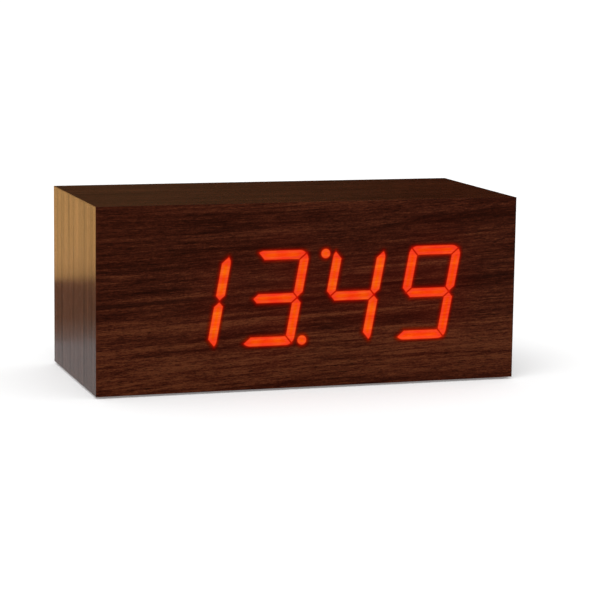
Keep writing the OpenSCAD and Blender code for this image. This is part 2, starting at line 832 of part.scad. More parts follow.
module switch_knob() {
    x = controls_x + slide_x - switch_travel / 2;
    rib_w = 0.3;
    rib_out = 0.4;
    rib_pitch = 0.6;
    top_y = controls_floor_y + button_out;
    color([0.85, 0.85, 0.83]) {
        block(x, mid_z, knob_w, knob_w, control_pcb_y + slide_t - slide_slot_d + knob_gap,
            top_y - rib_out);
        for (j = [-1:1])
            block(x + j * rib_pitch, mid_z, rib_w, knob_w, top_y - rib_out - tiny, top_y);
    }
}

module power_inlet() {
    color(black) difference() {
        union() {
            rod(controls_x + inlet_x, mid_z, inlet_body_r, control_pcb_y, controls_floor_inner_y);
            rod(controls_x + inlet_x, mid_z, inlet_neck_r, control_pcb_y + 1, controls_floor_y);
        }
        rod(controls_x + inlet_x, mid_z, inlet_r, controls_floor_y - inlet_d, controls_floor_y + 1);
    }
}

module inlet_pin() {
    y0 = controls_floor_y - inlet_d;
    y1 = controls_floor_y - 1;
    color("gold") translate([controls_x + inlet_x, 0, mid_z]) rotate([-90, 0, 0])
        rotate_extrude() polygon([
            [0, y0], [inlet_pin_r, y0], [inlet_pin_r, y1 - 0.5], [inlet_pin_r * 0.5, y1], [0, y1]
        ]);
}

module buzzer() {
    color(black) difference() {
        rod(controls_x + buzzer_x, mid_z + buzzer_z, buzzer_r, control_pcb_y,
            control_pcb_y + buzzer_t);
        rod(controls_x + buzzer_x, mid_z + buzzer_z, 1, control_pcb_y + buzzer_t - 1.5,
            control_pcb_y + buzzer_t + 1);
    }
}

module microphone() {
    color(metal) difference() {
        rod(controls_x + mic_x, mid_z + mic_z, mic_r, control_pcb_y, control_pcb_y + mic_t);
        rod(controls_x + mic_x, mid_z + mic_z, mic_r - 0.8, control_pcb_y + mic_t - 0.4,
            control_pcb_y + mic_t + 1);
    }
}

module microcontroller() {
    color(black) chip_body(controls_x + mcu_x, mid_z, 17.9, 7.5, 2.3, 28, control_pcb_front_y, -1);
}

module crystal() {
    crystal_l = 6;
    crystal_r = 1.5;
    color(metal) rod_x(controls_x + mcu_x - crystal_l / 2, controls_x + mcu_x + crystal_l / 2,
        control_pcb_front_y - crystal_r, mid_z + crystal_z, crystal_r);
}

module coin_cell_holder() {
    depth = coin_t + coin_wall;
    color([0.15, 0.15, 0.16]) difference() {
        rod(controls_x + coin_x, mid_z, coin_r + coin_wall + 0.2, control_pcb_front_y - depth,
            control_pcb_front_y);
        rod(controls_x + coin_x, mid_z, coin_r + 0.2, control_pcb_front_y - depth - 1,
            control_pcb_front_y - coin_wall);
    }
}

module coin_cell() {
    color(metal) rod(controls_x + coin_x, mid_z, coin_r,
        control_pcb_front_y - coin_wall - coin_t, control_pcb_front_y - coin_wall);
}

// Battery box
module battery_tray() {
    x = -battery_x;
    color(black) difference() {
        union() {
            soft_block(x, mid_z, tray_flange_w, tray_flange_h, flange_corner_r, panel_y, flange_y);
            block(x, mid_z, step_w, step_h, step_y, panel_y + tiny);
            block(x, pocket_z0 + pocket_h / 2, pocket_w + 2 * plastic_t, pocket_h + 2 * plastic_t,
                tray_base_y, step_y + tiny);
        }
        block(x, pocket_z0 + pocket_h / 2, pocket_w, pocket_h, pocket_y, flange_y + 1);
        block(x, mid_z, seat_w, seat_h, seat_y, flange_y + 1);
        block(x, seat_z0 + hinge_space / 2, seat_w, hinge_space, hinge_y - knuckle_r - door_gap,
            flange_y + 1);
        block(x, seat_z0 + seat_h, notch_w, 2 * notch_d, flange_y - 1, flange_y + 1);
        rod_x(x - seat_w / 2 - hinge_pin_l + door_gap, x + seat_w / 2 + hinge_pin_l - door_gap,
            hinge_y, hinge_z, hinge_pin_r + hinge_gap);
        for (sx = [-1, 1]) flange_screw_sink(x + sx * tray_screw_x);
        for (i = [0, 3])
            block(x + pocket_w / 2 - contact_t / 2, cell_z(i), contact_t + 2 * tab_gap,
                tab_w + 2 * tab_gap, tray_base_y - 1, pocket_y + 1);
    }
}

module battery_door() {
    x = -battery_x;
    grips = 3;
    grip_edge = 4;
    grip_pitch = 2.2;
    grip_w = 0.8;
    grip_out = 0.35;
    color(black) union() {
        block(x, (hinge_z + door_z1) / 2, door_w, door_z1 - hinge_z, door_inner_y, flange_y);
        rod_x(x - door_w / 2, x + door_w / 2, hinge_y, hinge_z, knuckle_r);
        rod_x(x - door_w / 2 - hinge_pin_l, x + door_w / 2 + hinge_pin_l, hinge_y, hinge_z,
            hinge_pin_r);
        for (j = [0:grips - 1])
            block(x, door_z1 - grip_edge - grip_pitch * j, notch_w, grip_w, flange_y - tiny,
                flange_y + grip_out);
    }
}

function cell_z(i) = pocket_z0 + cell_gap + cell_d / 2 + i * (cell_d + cell_gap);

// Even cells point their button end to the right and odd cells to the left, as seen from the front
function cell_way(i) = i % 2 == 0 ? 1 : -1;

module battery_cell(i) {
    r = cell_d / 2;
    nub_r = 1.9;
    nub_l = 1;
    edge = 0.4;
    color([0.20, 0.28, 0.34])
        translate([-battery_x + cell_way(i) * (spring_l - cell_slack) / 2, cell_y, cell_z(i)])
        rotate([0, cell_way(i) * 90, 0]) translate([0, 0, -cell_l / 2]) rotate_extrude() polygon([
            [0, 0], [r - edge, 0], [r, edge], [r, cell_l - nub_l - edge],
            [r - edge, cell_l - nub_l], [nub_r, cell_l - nub_l], [nub_r, cell_l], [0, cell_l]
        ]);
}

// A conical spring from the pocket's end to a cell's flat end
module contact_springs() {
    turns = 3;
    steps = 12;
    wire_r = 0.3;
    wide = 3.4;
    narrow = 2.6;
    end_gap = 0.05;
    n = turns * steps;
    for (i = [0:3]) {
        way = cell_way(i);
        x0 = -battery_x - way * (pocket_w / 2 - contact_t - wire_r - end_gap);
        run = way * (spring_l - 2 * wire_r - 2 * end_gap);
        ups = [for (j = [0:n]) [0, cos(360 * j / steps), sin(360 * j / steps)]];
        ps = [for (j = [0:n])
            [x0 + run * j / n, cell_y, cell_z(i)] + ups[j] * (wide + (narrow - wide) * j / n)];
        color(metal) tube(ps, ups, wire_r, 6);
    }
}

// Plates at the pocket's ends: each bridges two cells, or is a terminal with a tab through the tray
module contact_plates() {
    wide = cell_d - 1;
    long = 2 * cell_d + cell_gap - 1;
    top_y = cell_y + contact_over;
    left_x = -battery_x - pocket_w / 2 + contact_t / 2;
    right_x = -battery_x + pocket_w / 2 - contact_t / 2;
    color(metal) {
        for (i = [0, 2])
            block(left_x, (cell_z(i) + cell_z(i + 1)) / 2, contact_t, long, pocket_y, top_y);
        block(right_x, (cell_z(1) + cell_z(2)) / 2, contact_t, long, pocket_y, top_y);
        for (i = [0, 3]) {
            block(right_x, cell_z(i), contact_t, wide, pocket_y, top_y);
            block(right_x, cell_z(i), contact_t, tab_w, tray_base_y - terminal_out,
                pocket_y + tiny);
        }
    }
}

// Two leads from the tray's tabs to the control board
function eased(t) = t * t * (3 - 2 * t);

module battery_leads() {
    lead_r = 0.7;
    steps = 24;
    bend_r = 3;
    bend_steps = 6;
    straight = 1.5;
    end_x = controls_x - control_pcb_w / 2 + 5;
    dip_y = control_pcb_front_y - 2 * bend_r;
    start_x = -battery_x + pocket_w / 2;
    start_y = tray_base_y - terminal_out / 2;
    run = end_x - bend_r - start_x - straight;
    for (lead = [[cell_z(0), mid_z - 6], [cell_z(3), mid_z + 6]]) {
        ps = concat(
            [[start_x, start_y, lead[0]]],
            [for (j = [0:steps]) let (t = j / steps, e = eased(t))
                [start_x + straight + run * t, start_y + (dip_y - start_y) * e,
                    lead[0] + (lead[1] - lead[0]) * e]],
            [for (j = [1:bend_steps]) let (a = 90 * j / bend_steps)
                [end_x - bend_r + bend_r * sin(a), dip_y + bend_r - bend_r * cos(a), lead[1]]],
            [[end_x, control_pcb_front_y, lead[1]]]
        );
        ups = [for (p = ps) [0, 0, 1]];
        color("firebrick") tube(ps, ups, lead_r, 8);
    }
}

module flange_screws() {
    slot_l = 2.2;
    slot_w = 0.5;
    slot_d = 0.5;
    color(metal) for (x = flange_screw_places()) difference() {
        countersunk(x, mid_z, flange_screw_r, flange_head_r, flange_head_t, flange_screw_l, flange_y);
        for (turn = [45, 135]) translate([x, flange_y, mid_z])
            rotate([0, turn, 0]) cube([slot_l, 2 * slot_d, slot_w], center = true);
    }
}

front_board();
top_board();
bottom_board();
left_board();
right_board();
back_board();
veneer_front();
lit_veneer();
veneer_top();
veneer_bottom();
veneer_left();
veneer_right();
veneer_back();
back_edge_bands();
corner_blocks();
back_screws();
foot_pads();
digit_housing(0);  // digit_housing_1
digit_housing(1);  // digit_housing_2
digit_housing(2);  // digit_housing_3
digit_housing(3);  // digit_housing_4
digit_segments(0);  // digit_segments_1
digit_segments(1);  // digit_segments_2
digit_segments(2);  // digit_segments_3
digit_segments(3);  // digit_segments_4
digit_boards();
light_chips();
digit_pins();
display_board();
display_driver();
display_spacers();
board_screws();
ribbon_cable();
ribbon_sockets();
control_panel();
control_board();
button(0);  // set_button
button(1);  // up_button
button(2);  // down_button
button_switches();
slide_switch();
switch_knob();
power_inlet();
inlet_pin();
buzzer();
microphone();
microcontroller();
crystal();
coin_cell();
coin_cell_holder();
battery_tray();
battery_door();
battery_cell(0);  // battery_cell_1
battery_cell(1);  // battery_cell_2
battery_cell(2);  // battery_cell_3
battery_cell(3);  // battery_cell_4
contact_springs();
contact_plates();
battery_leads();
flange_screws();
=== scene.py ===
"""Digital alarm clock in a walnut-veneered block: camera, stage, finishes and detailed pieces.

Points are worked out in millimetres in the part's frame: X to the right, Y to the back, Z up.
"""

import math

import bmesh
import bpy
import numpy as np
from mathutils import Matrix, Vector


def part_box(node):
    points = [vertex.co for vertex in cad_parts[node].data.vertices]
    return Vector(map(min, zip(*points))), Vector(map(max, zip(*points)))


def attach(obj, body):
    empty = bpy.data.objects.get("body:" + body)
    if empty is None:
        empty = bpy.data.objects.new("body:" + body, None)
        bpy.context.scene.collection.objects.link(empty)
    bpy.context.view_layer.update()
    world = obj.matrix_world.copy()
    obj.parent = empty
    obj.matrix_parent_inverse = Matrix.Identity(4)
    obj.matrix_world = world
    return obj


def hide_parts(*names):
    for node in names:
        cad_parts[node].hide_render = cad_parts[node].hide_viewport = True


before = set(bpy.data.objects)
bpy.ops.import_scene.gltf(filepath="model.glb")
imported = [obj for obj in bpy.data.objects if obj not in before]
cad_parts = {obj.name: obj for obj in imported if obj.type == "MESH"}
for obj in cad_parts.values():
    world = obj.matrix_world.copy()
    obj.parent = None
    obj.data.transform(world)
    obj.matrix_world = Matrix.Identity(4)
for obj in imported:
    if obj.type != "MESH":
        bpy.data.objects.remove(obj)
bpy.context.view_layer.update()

MM = 0.001

# Case
HALF_W = 103.5
FACE_Y = -47.0
REAR_Y = 47.0
CASE_Z0 = 1.0
CASE_Z1 = 89.0
MID_Z = 45.0
VENEER_T = 0.5
PANEL_Y = 45.0
SHADE_AND_STAIN_Y = 40.0
INNER_HALF_W = 97.0
INNER_HALF_H = 37.5
EDGE_R = 0.3
SHEET_STEP = 6
BAND_STEP = 2

# Figures, as their light shows on the veneer; each sits a little off its even place, by its x and z shift
DIGIT_H = 45.5
DIGIT_W = 26.8
DIGIT_PITCH = 38.1
DIGIT_LEAN = 0.18
DIGIT_ROUND = 4.7
SEGMENT_W = 4.8
LIGHT_GAP = 0.06
DOT_R = 2.5
DOT_X = 13.5
DOT_Z = 20.4
DIGITS_X = 1.0
DIGITS_Z = 44.2
DIGIT_SHIFTS = ((0.24, -0.65), (0.09, -0.11), (0.31, -0.12), (0.33, 0.09))
SHOWN = (1, 3, 4, 9)
FIGURES = ("abcdef", "bc", "abdeg", "abcdg", "bcfg", "acdfg", "acdefg", "abc", "abcdefg", "abcdfg")
TOUCHING_SETS = ("agd", "bf", "ce")
DIGIT_LEVELS = (1.5, 1.0, 1.35, 0.55)
# The second figure has its dot low on its right, and the third one high on its left
DOTS = {1: (DOT_X, -DOT_Z), 2: (-DOT_X, DOT_Z)}

# Light through the veneer: the area with a fine grid, its step, and how far the light of a chip reaches
LIT_X = (-54.0, 82.0)
LIT_Z = (17.0, 71.6)
LIT_STEP = 0.4
FAR_FROM_LIGHT = 6.0
BAR_LEVEL = 0.7
CHIP_REACH = 3.2
SPILL_REACH = 12.0
SPILL_LEVEL = 0.22

# Back
FLANGE_Y = 46.5
BUTTON_XS = {"set_button": 42.0, "up_button": 52.0, "down_button": 62.0}
KNOB_X = 31.0
BATTERY_X = -48.0
POCKET_HALF_W = 24.75
CELL_Y = 39.05
CELL_R = 5.25
CELL_Z0 = 29.85
CELL_PITCH = 11.1
CASE_SCREWS = [(x, z) for x in (-90.0, 90.0) for z in (14.5, 75.5)]
FLANGE_SCREWS = [(x, MID_Z) for x in (4.0, 90.0, -79.0, -17.0)]
FOOT_CENTRES = [(x, y) for x in (-87.5, 87.5) for y in (-31.0, 31.0)]

# Directions of a flat face: along it, up it and out of it
FRONT = ((1, 0, 0), (0, 0, 1), (0, -1, 0))
BACK = ((-1, 0, 0), (0, 0, 1), (0, 1, 0))
TOP = ((1, 0, 0), (0, 1, 0), (0, 0, 1))
BOTTOM = ((1, 0, 0), (0, -1, 0), (0, 0, -1))
LEFT = ((0, -1, 0), (0, 0, 1), (-1, 0, 0))
RIGHT = ((0, 1, 0), (0, 0, 1), (1, 0, 0))

# The photograph's view
CAMERA_AZIMUTH = math.radians(-18.01)
CAMERA_ELEVATION = math.radians(8.89)
CAMERA_ROLL = math.radians(0.74)
CAMERA_TARGET = (-5.6, -47.0, 42.8)
CAMERA_DISTANCE = 1041.8
CAMERA_LENS = 133.04
CAMERA_SENSOR = 36

# Nodes
class Value:
    """An output of a node; +, -, * and / make the Math nodes that work out a new one."""

    def __init__(self, graph, socket):
        """Keeps the output and the graph that it belongs to."""
        self.graph = graph
        self.socket = socket

    def __add__(self, other):
        """The sum with a value or a number."""
        return self.graph.math("ADD", self, other)

    def __sub__(self, other):
        """This less a value or a number."""
        return self.graph.math("SUBTRACT", self, other)

    def __rsub__(self, other):
        """A number less this."""
        return self.graph.math("SUBTRACT", other, self)

    def __mul__(self, other):
        """The product with a value or a number."""
        return self.graph.math("MULTIPLY", self, other)

    def __truediv__(self, other):
        """This over a value or a number."""
        return self.graph.math("DIVIDE", self, other)

    def sibling(self, output):
        """Another output of the same node."""
        return Value(self.graph, self.socket.node.outputs[output])

class Graph:
    """The nodes of a new material or world, with short calls that take and give values."""

    def __init__(self, name, store="materials"):
        """Makes the material or world, without any nodes."""
        self.owner = getattr(bpy.data, store).new(name)
        self.owner.use_nodes = True
        self.tree = self.owner.node_tree
        self.tree.nodes.clear()

    def put(self, socket, value):
        """Links a value to a socket or sets a plain number or colour on it."""
        if isinstance(value, Value):
            self.tree.links.new(value.socket, socket)
        elif isinstance(value, tuple) and len(value) == 3 and len(socket.default_value) == 4:
            socket.default_value = (*value, 1)
        else:
            socket.default_value = value

    def node(self, kind, inputs, output=0, **settings):
        """A new node with its settings and inputs; gives one of its outputs."""
        node = self.tree.nodes.new("ShaderNode" + kind)
        for key, value in settings.items():
            setattr(node, key, value)
        for key, value in inputs.items():
            self.put(node.inputs[key], value)
        return Value(self, node.outputs[output])

    def show(self, shader, output="OutputMaterial"):
        """Makes a shader the surface; gives the material or world."""
        node = self.tree.nodes.new("ShaderNode" + output)
        self.put(node.inputs["Surface"], shader)
        return self.owner

    def principled(self, **inputs):
        """The material with one Principled shader; a _ stands for a space in the name of an input."""
        named = {key.replace("_", " "): value for key, value in inputs.items()}
        return self.show(self.node("BsdfPrincipled", named))

    def math(self, operation, *values):
        """A Math node on one or two values."""
        return self.node("Math", dict(enumerate(values)), operation=operation)

    def rise(self, value, low, high):
        """0 below low and 1 above high, with a smooth step between; low may be the larger one."""
        inputs = {"Value": value, "From Min": low, "From Max": high}
        return self.node("MapRange", inputs, interpolation_type="SMOOTHSTEP")

    def place(self):
        """The point's x, y and z in millimetres."""
        coords = self.node("TexCoord", {}, "Object")
        scaled = self.node("VectorMath", {0: coords, "Scale": 1 / MM}, operation="SCALE")
        x = self.node("SeparateXYZ", {0: scaled})
        return x, x.sibling(1), x.sibling(2)

    def joined(self, *values):
        """A vector or a colour of three values."""
        return self.node("CombineXYZ", dict(enumerate(values)))

    def stretched(self, point, sizes):
        """A vector of each coordinate over the size in millimetres of the pattern that way."""
        if not isinstance(sizes, tuple):
            sizes = (sizes, sizes, sizes)
        return self.joined(*[value / size for value, size in zip(point, sizes)])

    def noise(self, point, sizes, detail=2.0, roughness=0.5):
        """Noise about 0.5 whose lumps have the sizes given."""
        vector = self.stretched(point, sizes)
        inputs = {"Vector": vector, "Scale": 1.0, "Detail": detail, "Roughness": roughness}
        return self.node("TexNoise", inputs, "Fac")

    def cells(self, point, sizes):
        """Distance to the nearest of scattered points."""
        return self.node("TexVoronoi", {"Vector": self.stretched(point, sizes), "Scale": 1.0}, "Distance")

    def ramp(self, value, stops, smooth=False):
        """Colours or greys by position; a stop is (position, colour)."""
        shown = self.node("ValToRGB", {0: value})
        ramp = shown.socket.node.color_ramp
        ramp.interpolation = "EASE" if smooth else "LINEAR"
        while len(ramp.elements) < len(stops):
            ramp.elements.new(0.5)
        for element, (position, colour) in zip(ramp.elements, stops):
            element.position = position
            element.color = (*colour, 1) if isinstance(colour, tuple) else (colour, colour, colour, 1)
        return shown

    def blend(self, factor, low, high, kind="MIX"):
        """A colour between two, or the first one changed by the second."""
        return self.node("Mix", {0: factor, 6: low, 7: high}, 2, data_type="RGBA", blend_type=kind)

    def mottled(self, noise, dark, light):
        """Dark where a noise is low and light where it is high."""
        return self.blend(self.rise(noise, 0.3, 0.7), dark, light)

    def bump(self, height, strength, distance):
        """A normal from a height of 0 to 1 that stands for the distance in millimetres."""
        return self.node("Bump", {"Height": height, "Strength": strength, "Distance": distance * MM})

    def attribute(self, name):
        """A number kept on the mesh's points."""
        return self.node("Attribute", {}, "Fac", attribute_name=name)

    def shown_rays(self):
        """1 on camera, glossy and transmission rays and 0 on others."""
        camera = self.node("LightPath", {}, "Is Camera Ray")
        mirrored = self.math("MAXIMUM", camera, camera.sibling("Is Glossy Ray"))
        return self.math("MAXIMUM", mirrored, camera.sibling("Is Transmission Ray"))

# Camera and stage
def add_object(name, data):
    """A new object in the scene, at the origin."""
    made = bpy.data.objects.new(name, data)
    bpy.context.scene.collection.objects.link(made)
    return made

def direction(azimuth, elevation):
    """The way from the clock to a place: azimuth 0 is in front, and less is towards the left."""
    level = math.cos(elevation)
    return Vector((math.sin(azimuth) * level, -math.cos(azimuth) * level, math.sin(elevation)))

def make_camera():
    """The camera on a line from its target, turned by its roll about that line."""
    back = direction(CAMERA_AZIMUTH, CAMERA_ELEVATION)
    right = Vector((math.cos(CAMERA_AZIMUTH), math.sin(CAMERA_AZIMUTH), 0))
    up = back.cross(right)
    turned_right = math.cos(CAMERA_ROLL) * right + math.sin(CAMERA_ROLL) * up
    turned_up = math.cos(CAMERA_ROLL) * up - math.sin(CAMERA_ROLL) * right
    data = bpy.data.cameras.new("camera")
    data.lens = CAMERA_LENS
    data.sensor_width = CAMERA_SENSOR
    data.clip_start = 0.01
    data.clip_end = 50
    camera = add_object("camera", data)
    place = Matrix((turned_right, turned_up, back)).transposed().to_4x4()
    place.translation = (Vector(CAMERA_TARGET) + back * CAMERA_DISTANCE) * MM
    camera.matrix_world = place
    bpy.context.scene.camera = camera

def make_world(strength):
    """A white world that lights at the strength given and shows as plain white."""
    g = Graph("studio", "worlds")
    level = g.node("MapRange", {"Value": g.shown_rays(), "To Min": strength, "To Max": 1.0})
    background = g.node("Background", {"Color": (1, 1, 1), "Strength": level})
    bpy.context.scene.world = g.show(background, "OutputWorld")

def flat_card(name, corners, material):
    """A four-sided card through the corner points, in millimetres, with its material."""
    mesh = bpy.data.meshes.new(name)
    mesh.from_pydata([Vector(corner) * MM for corner in corners], [], [(0, 1, 2, 3)])
    mesh.materials.append(material)
    card = add_object(name, mesh)
    return card

def make_floor(lift):
    """A pale floor that shows white in the open, keeps the clock's shadow and is clear from below."""
    g = Graph("floor")
    matt = g.node("BsdfDiffuse", {"Color": (0.82, 0.82, 0.82)})
    raised = g.node("Emission", {"Strength": g.shown_rays() * lift})
    both = g.node("AddShader", {0: matt, 1: raised})
    clear = g.node("BsdfTransparent", {})
    below = g.node("NewGeometry", {}, "Backfacing")
    material = g.show(g.node("MixShader", {0: below, 1: both, 2: clear}))
    far = 20000
    floor = flat_card("floor", [(-far, -far, 0), (far, -far, 0), (far, far, 0), (-far, far, 0)], material)
    floor.visible_shadow = False

def mirror_card(name, corners, axis, low, high, strength, stops):
    """A card that only glossy reflections see; its colour changes along an axis from low to high."""
    g = Graph(name)
    share = (g.place()[axis] - low) / (high - low)
    colour = g.ramp(share, [((place - low) / (high - low), tone) for place, tone in stops])
    card = flat_card(name, corners, g.show(g.node("Emission", {"Color": colour, "Strength": strength})))
    card.visible_camera = False
    card.visible_diffuse = False
    card.visible_transmission = False
    card.visible_shadow = False

def make_sun(name, power, azimuth, elevation, angle):
    """A wide soft lamp from the given side, with its angles in degrees."""
    data = bpy.data.lights.new(name, "SUN")
    data.energy = power
    data.angle = math.radians(angle)
    lamp = add_object(name, data)
    lamp.rotation_mode = "QUATERNION"
    towards = direction(math.radians(azimuth), math.radians(elevation))
    lamp.rotation_quaternion = towards.to_track_quat("Z", "Y")

# Materials
WALNUT_STOPS = [
    (0.00, (0.0085, 0.0014, 0.0007)),
    (0.30, (0.0190, 0.0030, 0.0013)),
    (0.50, (0.0310, 0.0053, 0.0022)),
    (0.72, (0.0520, 0.0108, 0.0042)),
    (1.00, (0.0900, 0.0240, 0.0086)),
]
# The front's tone and its strongest grain lines, each as (height, tone) with 0.5 as the even tone; the tone
# is raised below about 30 mm, partly as painted light bounced up from the floor
ZONES_WITH_BOUNCE = [
    (0.0, 0.64), (9.0, 0.78), (24.0, 0.74), (30.0, 0.60), (36.0, 0.63), (44.0, 0.52), (56.0, 0.46),
    (92.0, 0.46),
]
LINES = [
    (0.0, 0.5), (22.8, 0.5), (24.0, 0.25), (25.4, 0.5), (27.1, 0.9), (28.6, 0.1), (29.8, 0.5), (31.3, 0.15),
    (32.6, 0.5), (35.9, 0.8), (37.1, 0.05), (38.2, 0.55), (39.0, 0.7), (40.1, 0.2), (41.6, 0.55),
    (43.2, 0.2), (44.4, 0.5), (45.6, 0.7), (47.3, 0.0), (48.6, 0.7), (50.4, 0.5), (52.0, 0.25), (53.4, 0.5),
    (66.0, 0.5), (67.5, 0.75), (69.0, 0.35), (70.4, 0.5),
]
PROFILE_TOP = 100.0
PORE_COLOUR = (0.0070, 0.0012, 0.0007)
LACQUER_TINT = (0.5, 0.2, 0.12)
# A painted red glow: the tint that the wood's base colour takes next to lit segments
PAINTED_GLOW_TINT = (1.0, 0.45, 0.0)

def walnut(name, along, glowing=False):
    """Dark walnut veneer under satin lacquer, its grain along x or z; a glowing one shows the digits.

    The tone is a sum of noises stretched along the grain, from wide bands to fine fibres and specks, and a
    ramp turns it into colour. The grain leans by a tilt, fans out with the height and wanders a little.
    """
    g = Graph(name)
    x, y, z = g.place()
    if along == "x":
        a, b, c = x, z, y
        tilt, spread, stripes = 0.043, 0.000004, 0.8
        sheen_bands, sheen_streaks, smooth, dry = 0.22, 0.20, 0.20, 0.16
    else:
        a, b, c = z, y, x
        tilt, spread, stripes = 0.008, 0.0, 2.0
        sheen_bands, sheen_streaks, smooth, dry = 0.34, 0.42, 0.15, 0.12
    lean = a * a * (b - MID_Z) * spread + a * tilt
    wave = (g.noise((a, b, c), (210, 60, 60), 1.0) - 0.5) * 1.9
    ripple = (g.noise((a, b, c), (30, 8, 8)) - 0.5) * 0.4
    shift = wave + ripple - lean
    grain = (a, b + shift, c + shift)
    bands = g.noise(grain, (190, 6.5, 6.5), 3.0, 0.6)
    streaks = g.noise(grain, (150, 1.2, 1.2), 4.0, 0.65)
    fibres = g.noise(grain, (5, 0.42, 0.42), 3.0, 0.7)
    specks = g.noise(grain, (1.1, 0.5, 0.5), 1.0)
    pores = g.rise(g.noise(grain, (4.5, 0.28, 0.28), 1.0), 0.57, 0.68)
    patches = g.noise(grain, (70, 9, 9), 1.0)
    calm = g.rise(g.noise(grain, (90, 20, 20), 1.0), 0.35, 0.65) * 0.5 + 0.65
    rings = g.math("ABSOLUTE", g.noise(grain, (160, 3.4, 3.4), 1.0) - 0.5)
    rings = g.rise(rings, 0.05, 0.0) * g.rise(patches, 0.35, 0.6)
    tone = (bands - 0.5) * stripes + 0.5
    if glowing:
        height = grain[1] / PROFILE_TOP
        # This ramp makes the front lighter near the bottom: partly the wood's own tone, partly painted light
        # bounced from the floor
        zone_and_bounce = g.ramp(height, [(h / PROFILE_TOP, t) for h, t in ZONES_WITH_BOUNCE], smooth=True)
        lines = g.ramp(height, [(h / PROFILE_TOP, t) for h, t in LINES])
        tone += zone_and_bounce - 0.5
        tone += (lines - 0.5) * (g.rise(patches, 0.36, 0.56) * 0.55 + 0.3)
    tone += (streaks - 0.5) * calm * 1.6
    tone += (fibres - 0.5) * 1.2
    tone += (specks - 0.5) * 0.7
    tone -= rings * 0.14
    colour = g.blend(pores * 0.7, g.ramp(tone, WALNUT_STOPS), PORE_COLOUR)
    gloss = (bands - 0.5) * sheen_bands + (streaks - 0.5) * sheen_streaks + 0.15
    sockets = {
        "Base_Color": colour,
        "Roughness": fibres * dry + smooth,
        "Normal": g.bump(fibres * 0.5 - pores * 0.5, 0.6, 0.05),
        "Specular_IOR_Level": gloss * (1.0 - pores * 0.4),
        "Specular_Tint": LACQUER_TINT,
    }
    if glowing:
        sockets.update(shining(g, colour, streaks, fibres, pores))
    return g.principled(**sockets)

def shining(g, colour, streaks, fibres, pores):
    """The emission of lit segments, and the wood next to them painted redder as a painted red glow in its
    base colour, from the distances kept on the mesh.

    The core fills a segment, a paler rim runs inside its edge, and the halo outside it falls off
    exponentially with the distance. The grain and the chips behind the veneer make the light uneven.
    """
    core, rim, painted_glow, halo = 0.0, 0.0, 0.0, 0.0
    for k in range(len(TOUCHING_SETS)):
        distance = g.attribute("glow_%d" % k)
        outside = g.math("MAXIMUM", distance, 0.0)
        ring = g.rise(distance, -2.1, -1.0) * g.rise(distance, -0.2, -0.7)
        core = g.math("MAXIMUM", core, g.rise(distance, -0.02, -0.54))
        rim = g.math("MAXIMUM", rim, ring)
        painted_glow = g.math("MAXIMUM", painted_glow, g.rise(distance, 2.4, 0.6))
        halo = g.math("EXPONENT", outside * -1.9) * 0.22 * g.rise(outside, 4.5, 2.0) + halo
    halo += g.attribute("spill") * 0.024
    grainy = (streaks - 0.5) * 0.8 + (fibres - 0.5) * 0.7 - pores * 0.14 + 1.0
    warm = (g.attribute("chips") * 0.048 + 0.038) * grainy * grainy
    red = core * (grainy * 0.25 + 0.62) + halo * (1.0 - core)
    green = g.math("POWER", core, 1.3) * warm
    blue = core * (rim * 0.012 + 0.0005)
    return {
        # The base colour is painted redder next to lit segments: a painted glow of their light on the wood
        "Base_Color": g.blend(painted_glow, colour, PAINTED_GLOW_TINT, "MULTIPLY"),
        "Emission_Color": g.joined(red, green, blue),
        "Emission_Strength": 1.0,
    }

def speckled(name, dark, light, size, rough, relief, specular=0.5):
    """A mottled solid finish: two close colours in lumps of a size, with a fine relief."""
    g = Graph(name)
    point = g.place()
    fine = g.noise(point, size / 5)
    return g.principled(
        Base_Color=g.mottled(g.noise(point, size, 3.0, 0.6), dark, light),
        Roughness=g.rise(fine, 0.3, 0.7) * (rough[1] - rough[0]) + rough[0],
        Normal=g.bump(fine, 0.7, relief),
        Specular_IOR_Level=specular,
    )

def moulded(name, dark, light, rough=0.5, marks=None):
    """Spark-textured moulded plastic with fine pits and faint flow; its marks have their own colour."""
    g = Graph(name)
    point = g.place()
    colour = g.mottled(g.noise(point, (14, 9, 11)), dark, light)
    if marks:
        colour = g.blend(g.rise(g.attribute("mark"), 0.35, 0.65), colour, marks)
    rub = g.rise(g.noise(point, 3.5, 3.0, 0.65), 0.35, 0.7)
    pits = g.bump(g.cells(point, 0.32), 0.6, 0.035)
    return g.principled(Base_Color=colour, Roughness=rub * 0.06 + (rough - 0.03), Normal=pits)

def brushed(name, colour, dull, sizes, rough):
    """Metal with fine lines that run the long way of the sizes and a few dull patches."""
    g = Graph(name)
    point = g.place()
    lines = g.noise(point, sizes)
    patches = g.noise(point, 2.5, 3.0)
    return g.principled(
        Base_Color=g.blend(g.rise(patches, 0.4, 0.75), colour, dull),
        Metallic=1.0,
        Roughness=lines * 0.22 + (rough - 0.11) + g.rise(patches, 0.45, 0.75) * 0.15,
        Normal=g.bump(lines, 0.35, 0.02),
    )

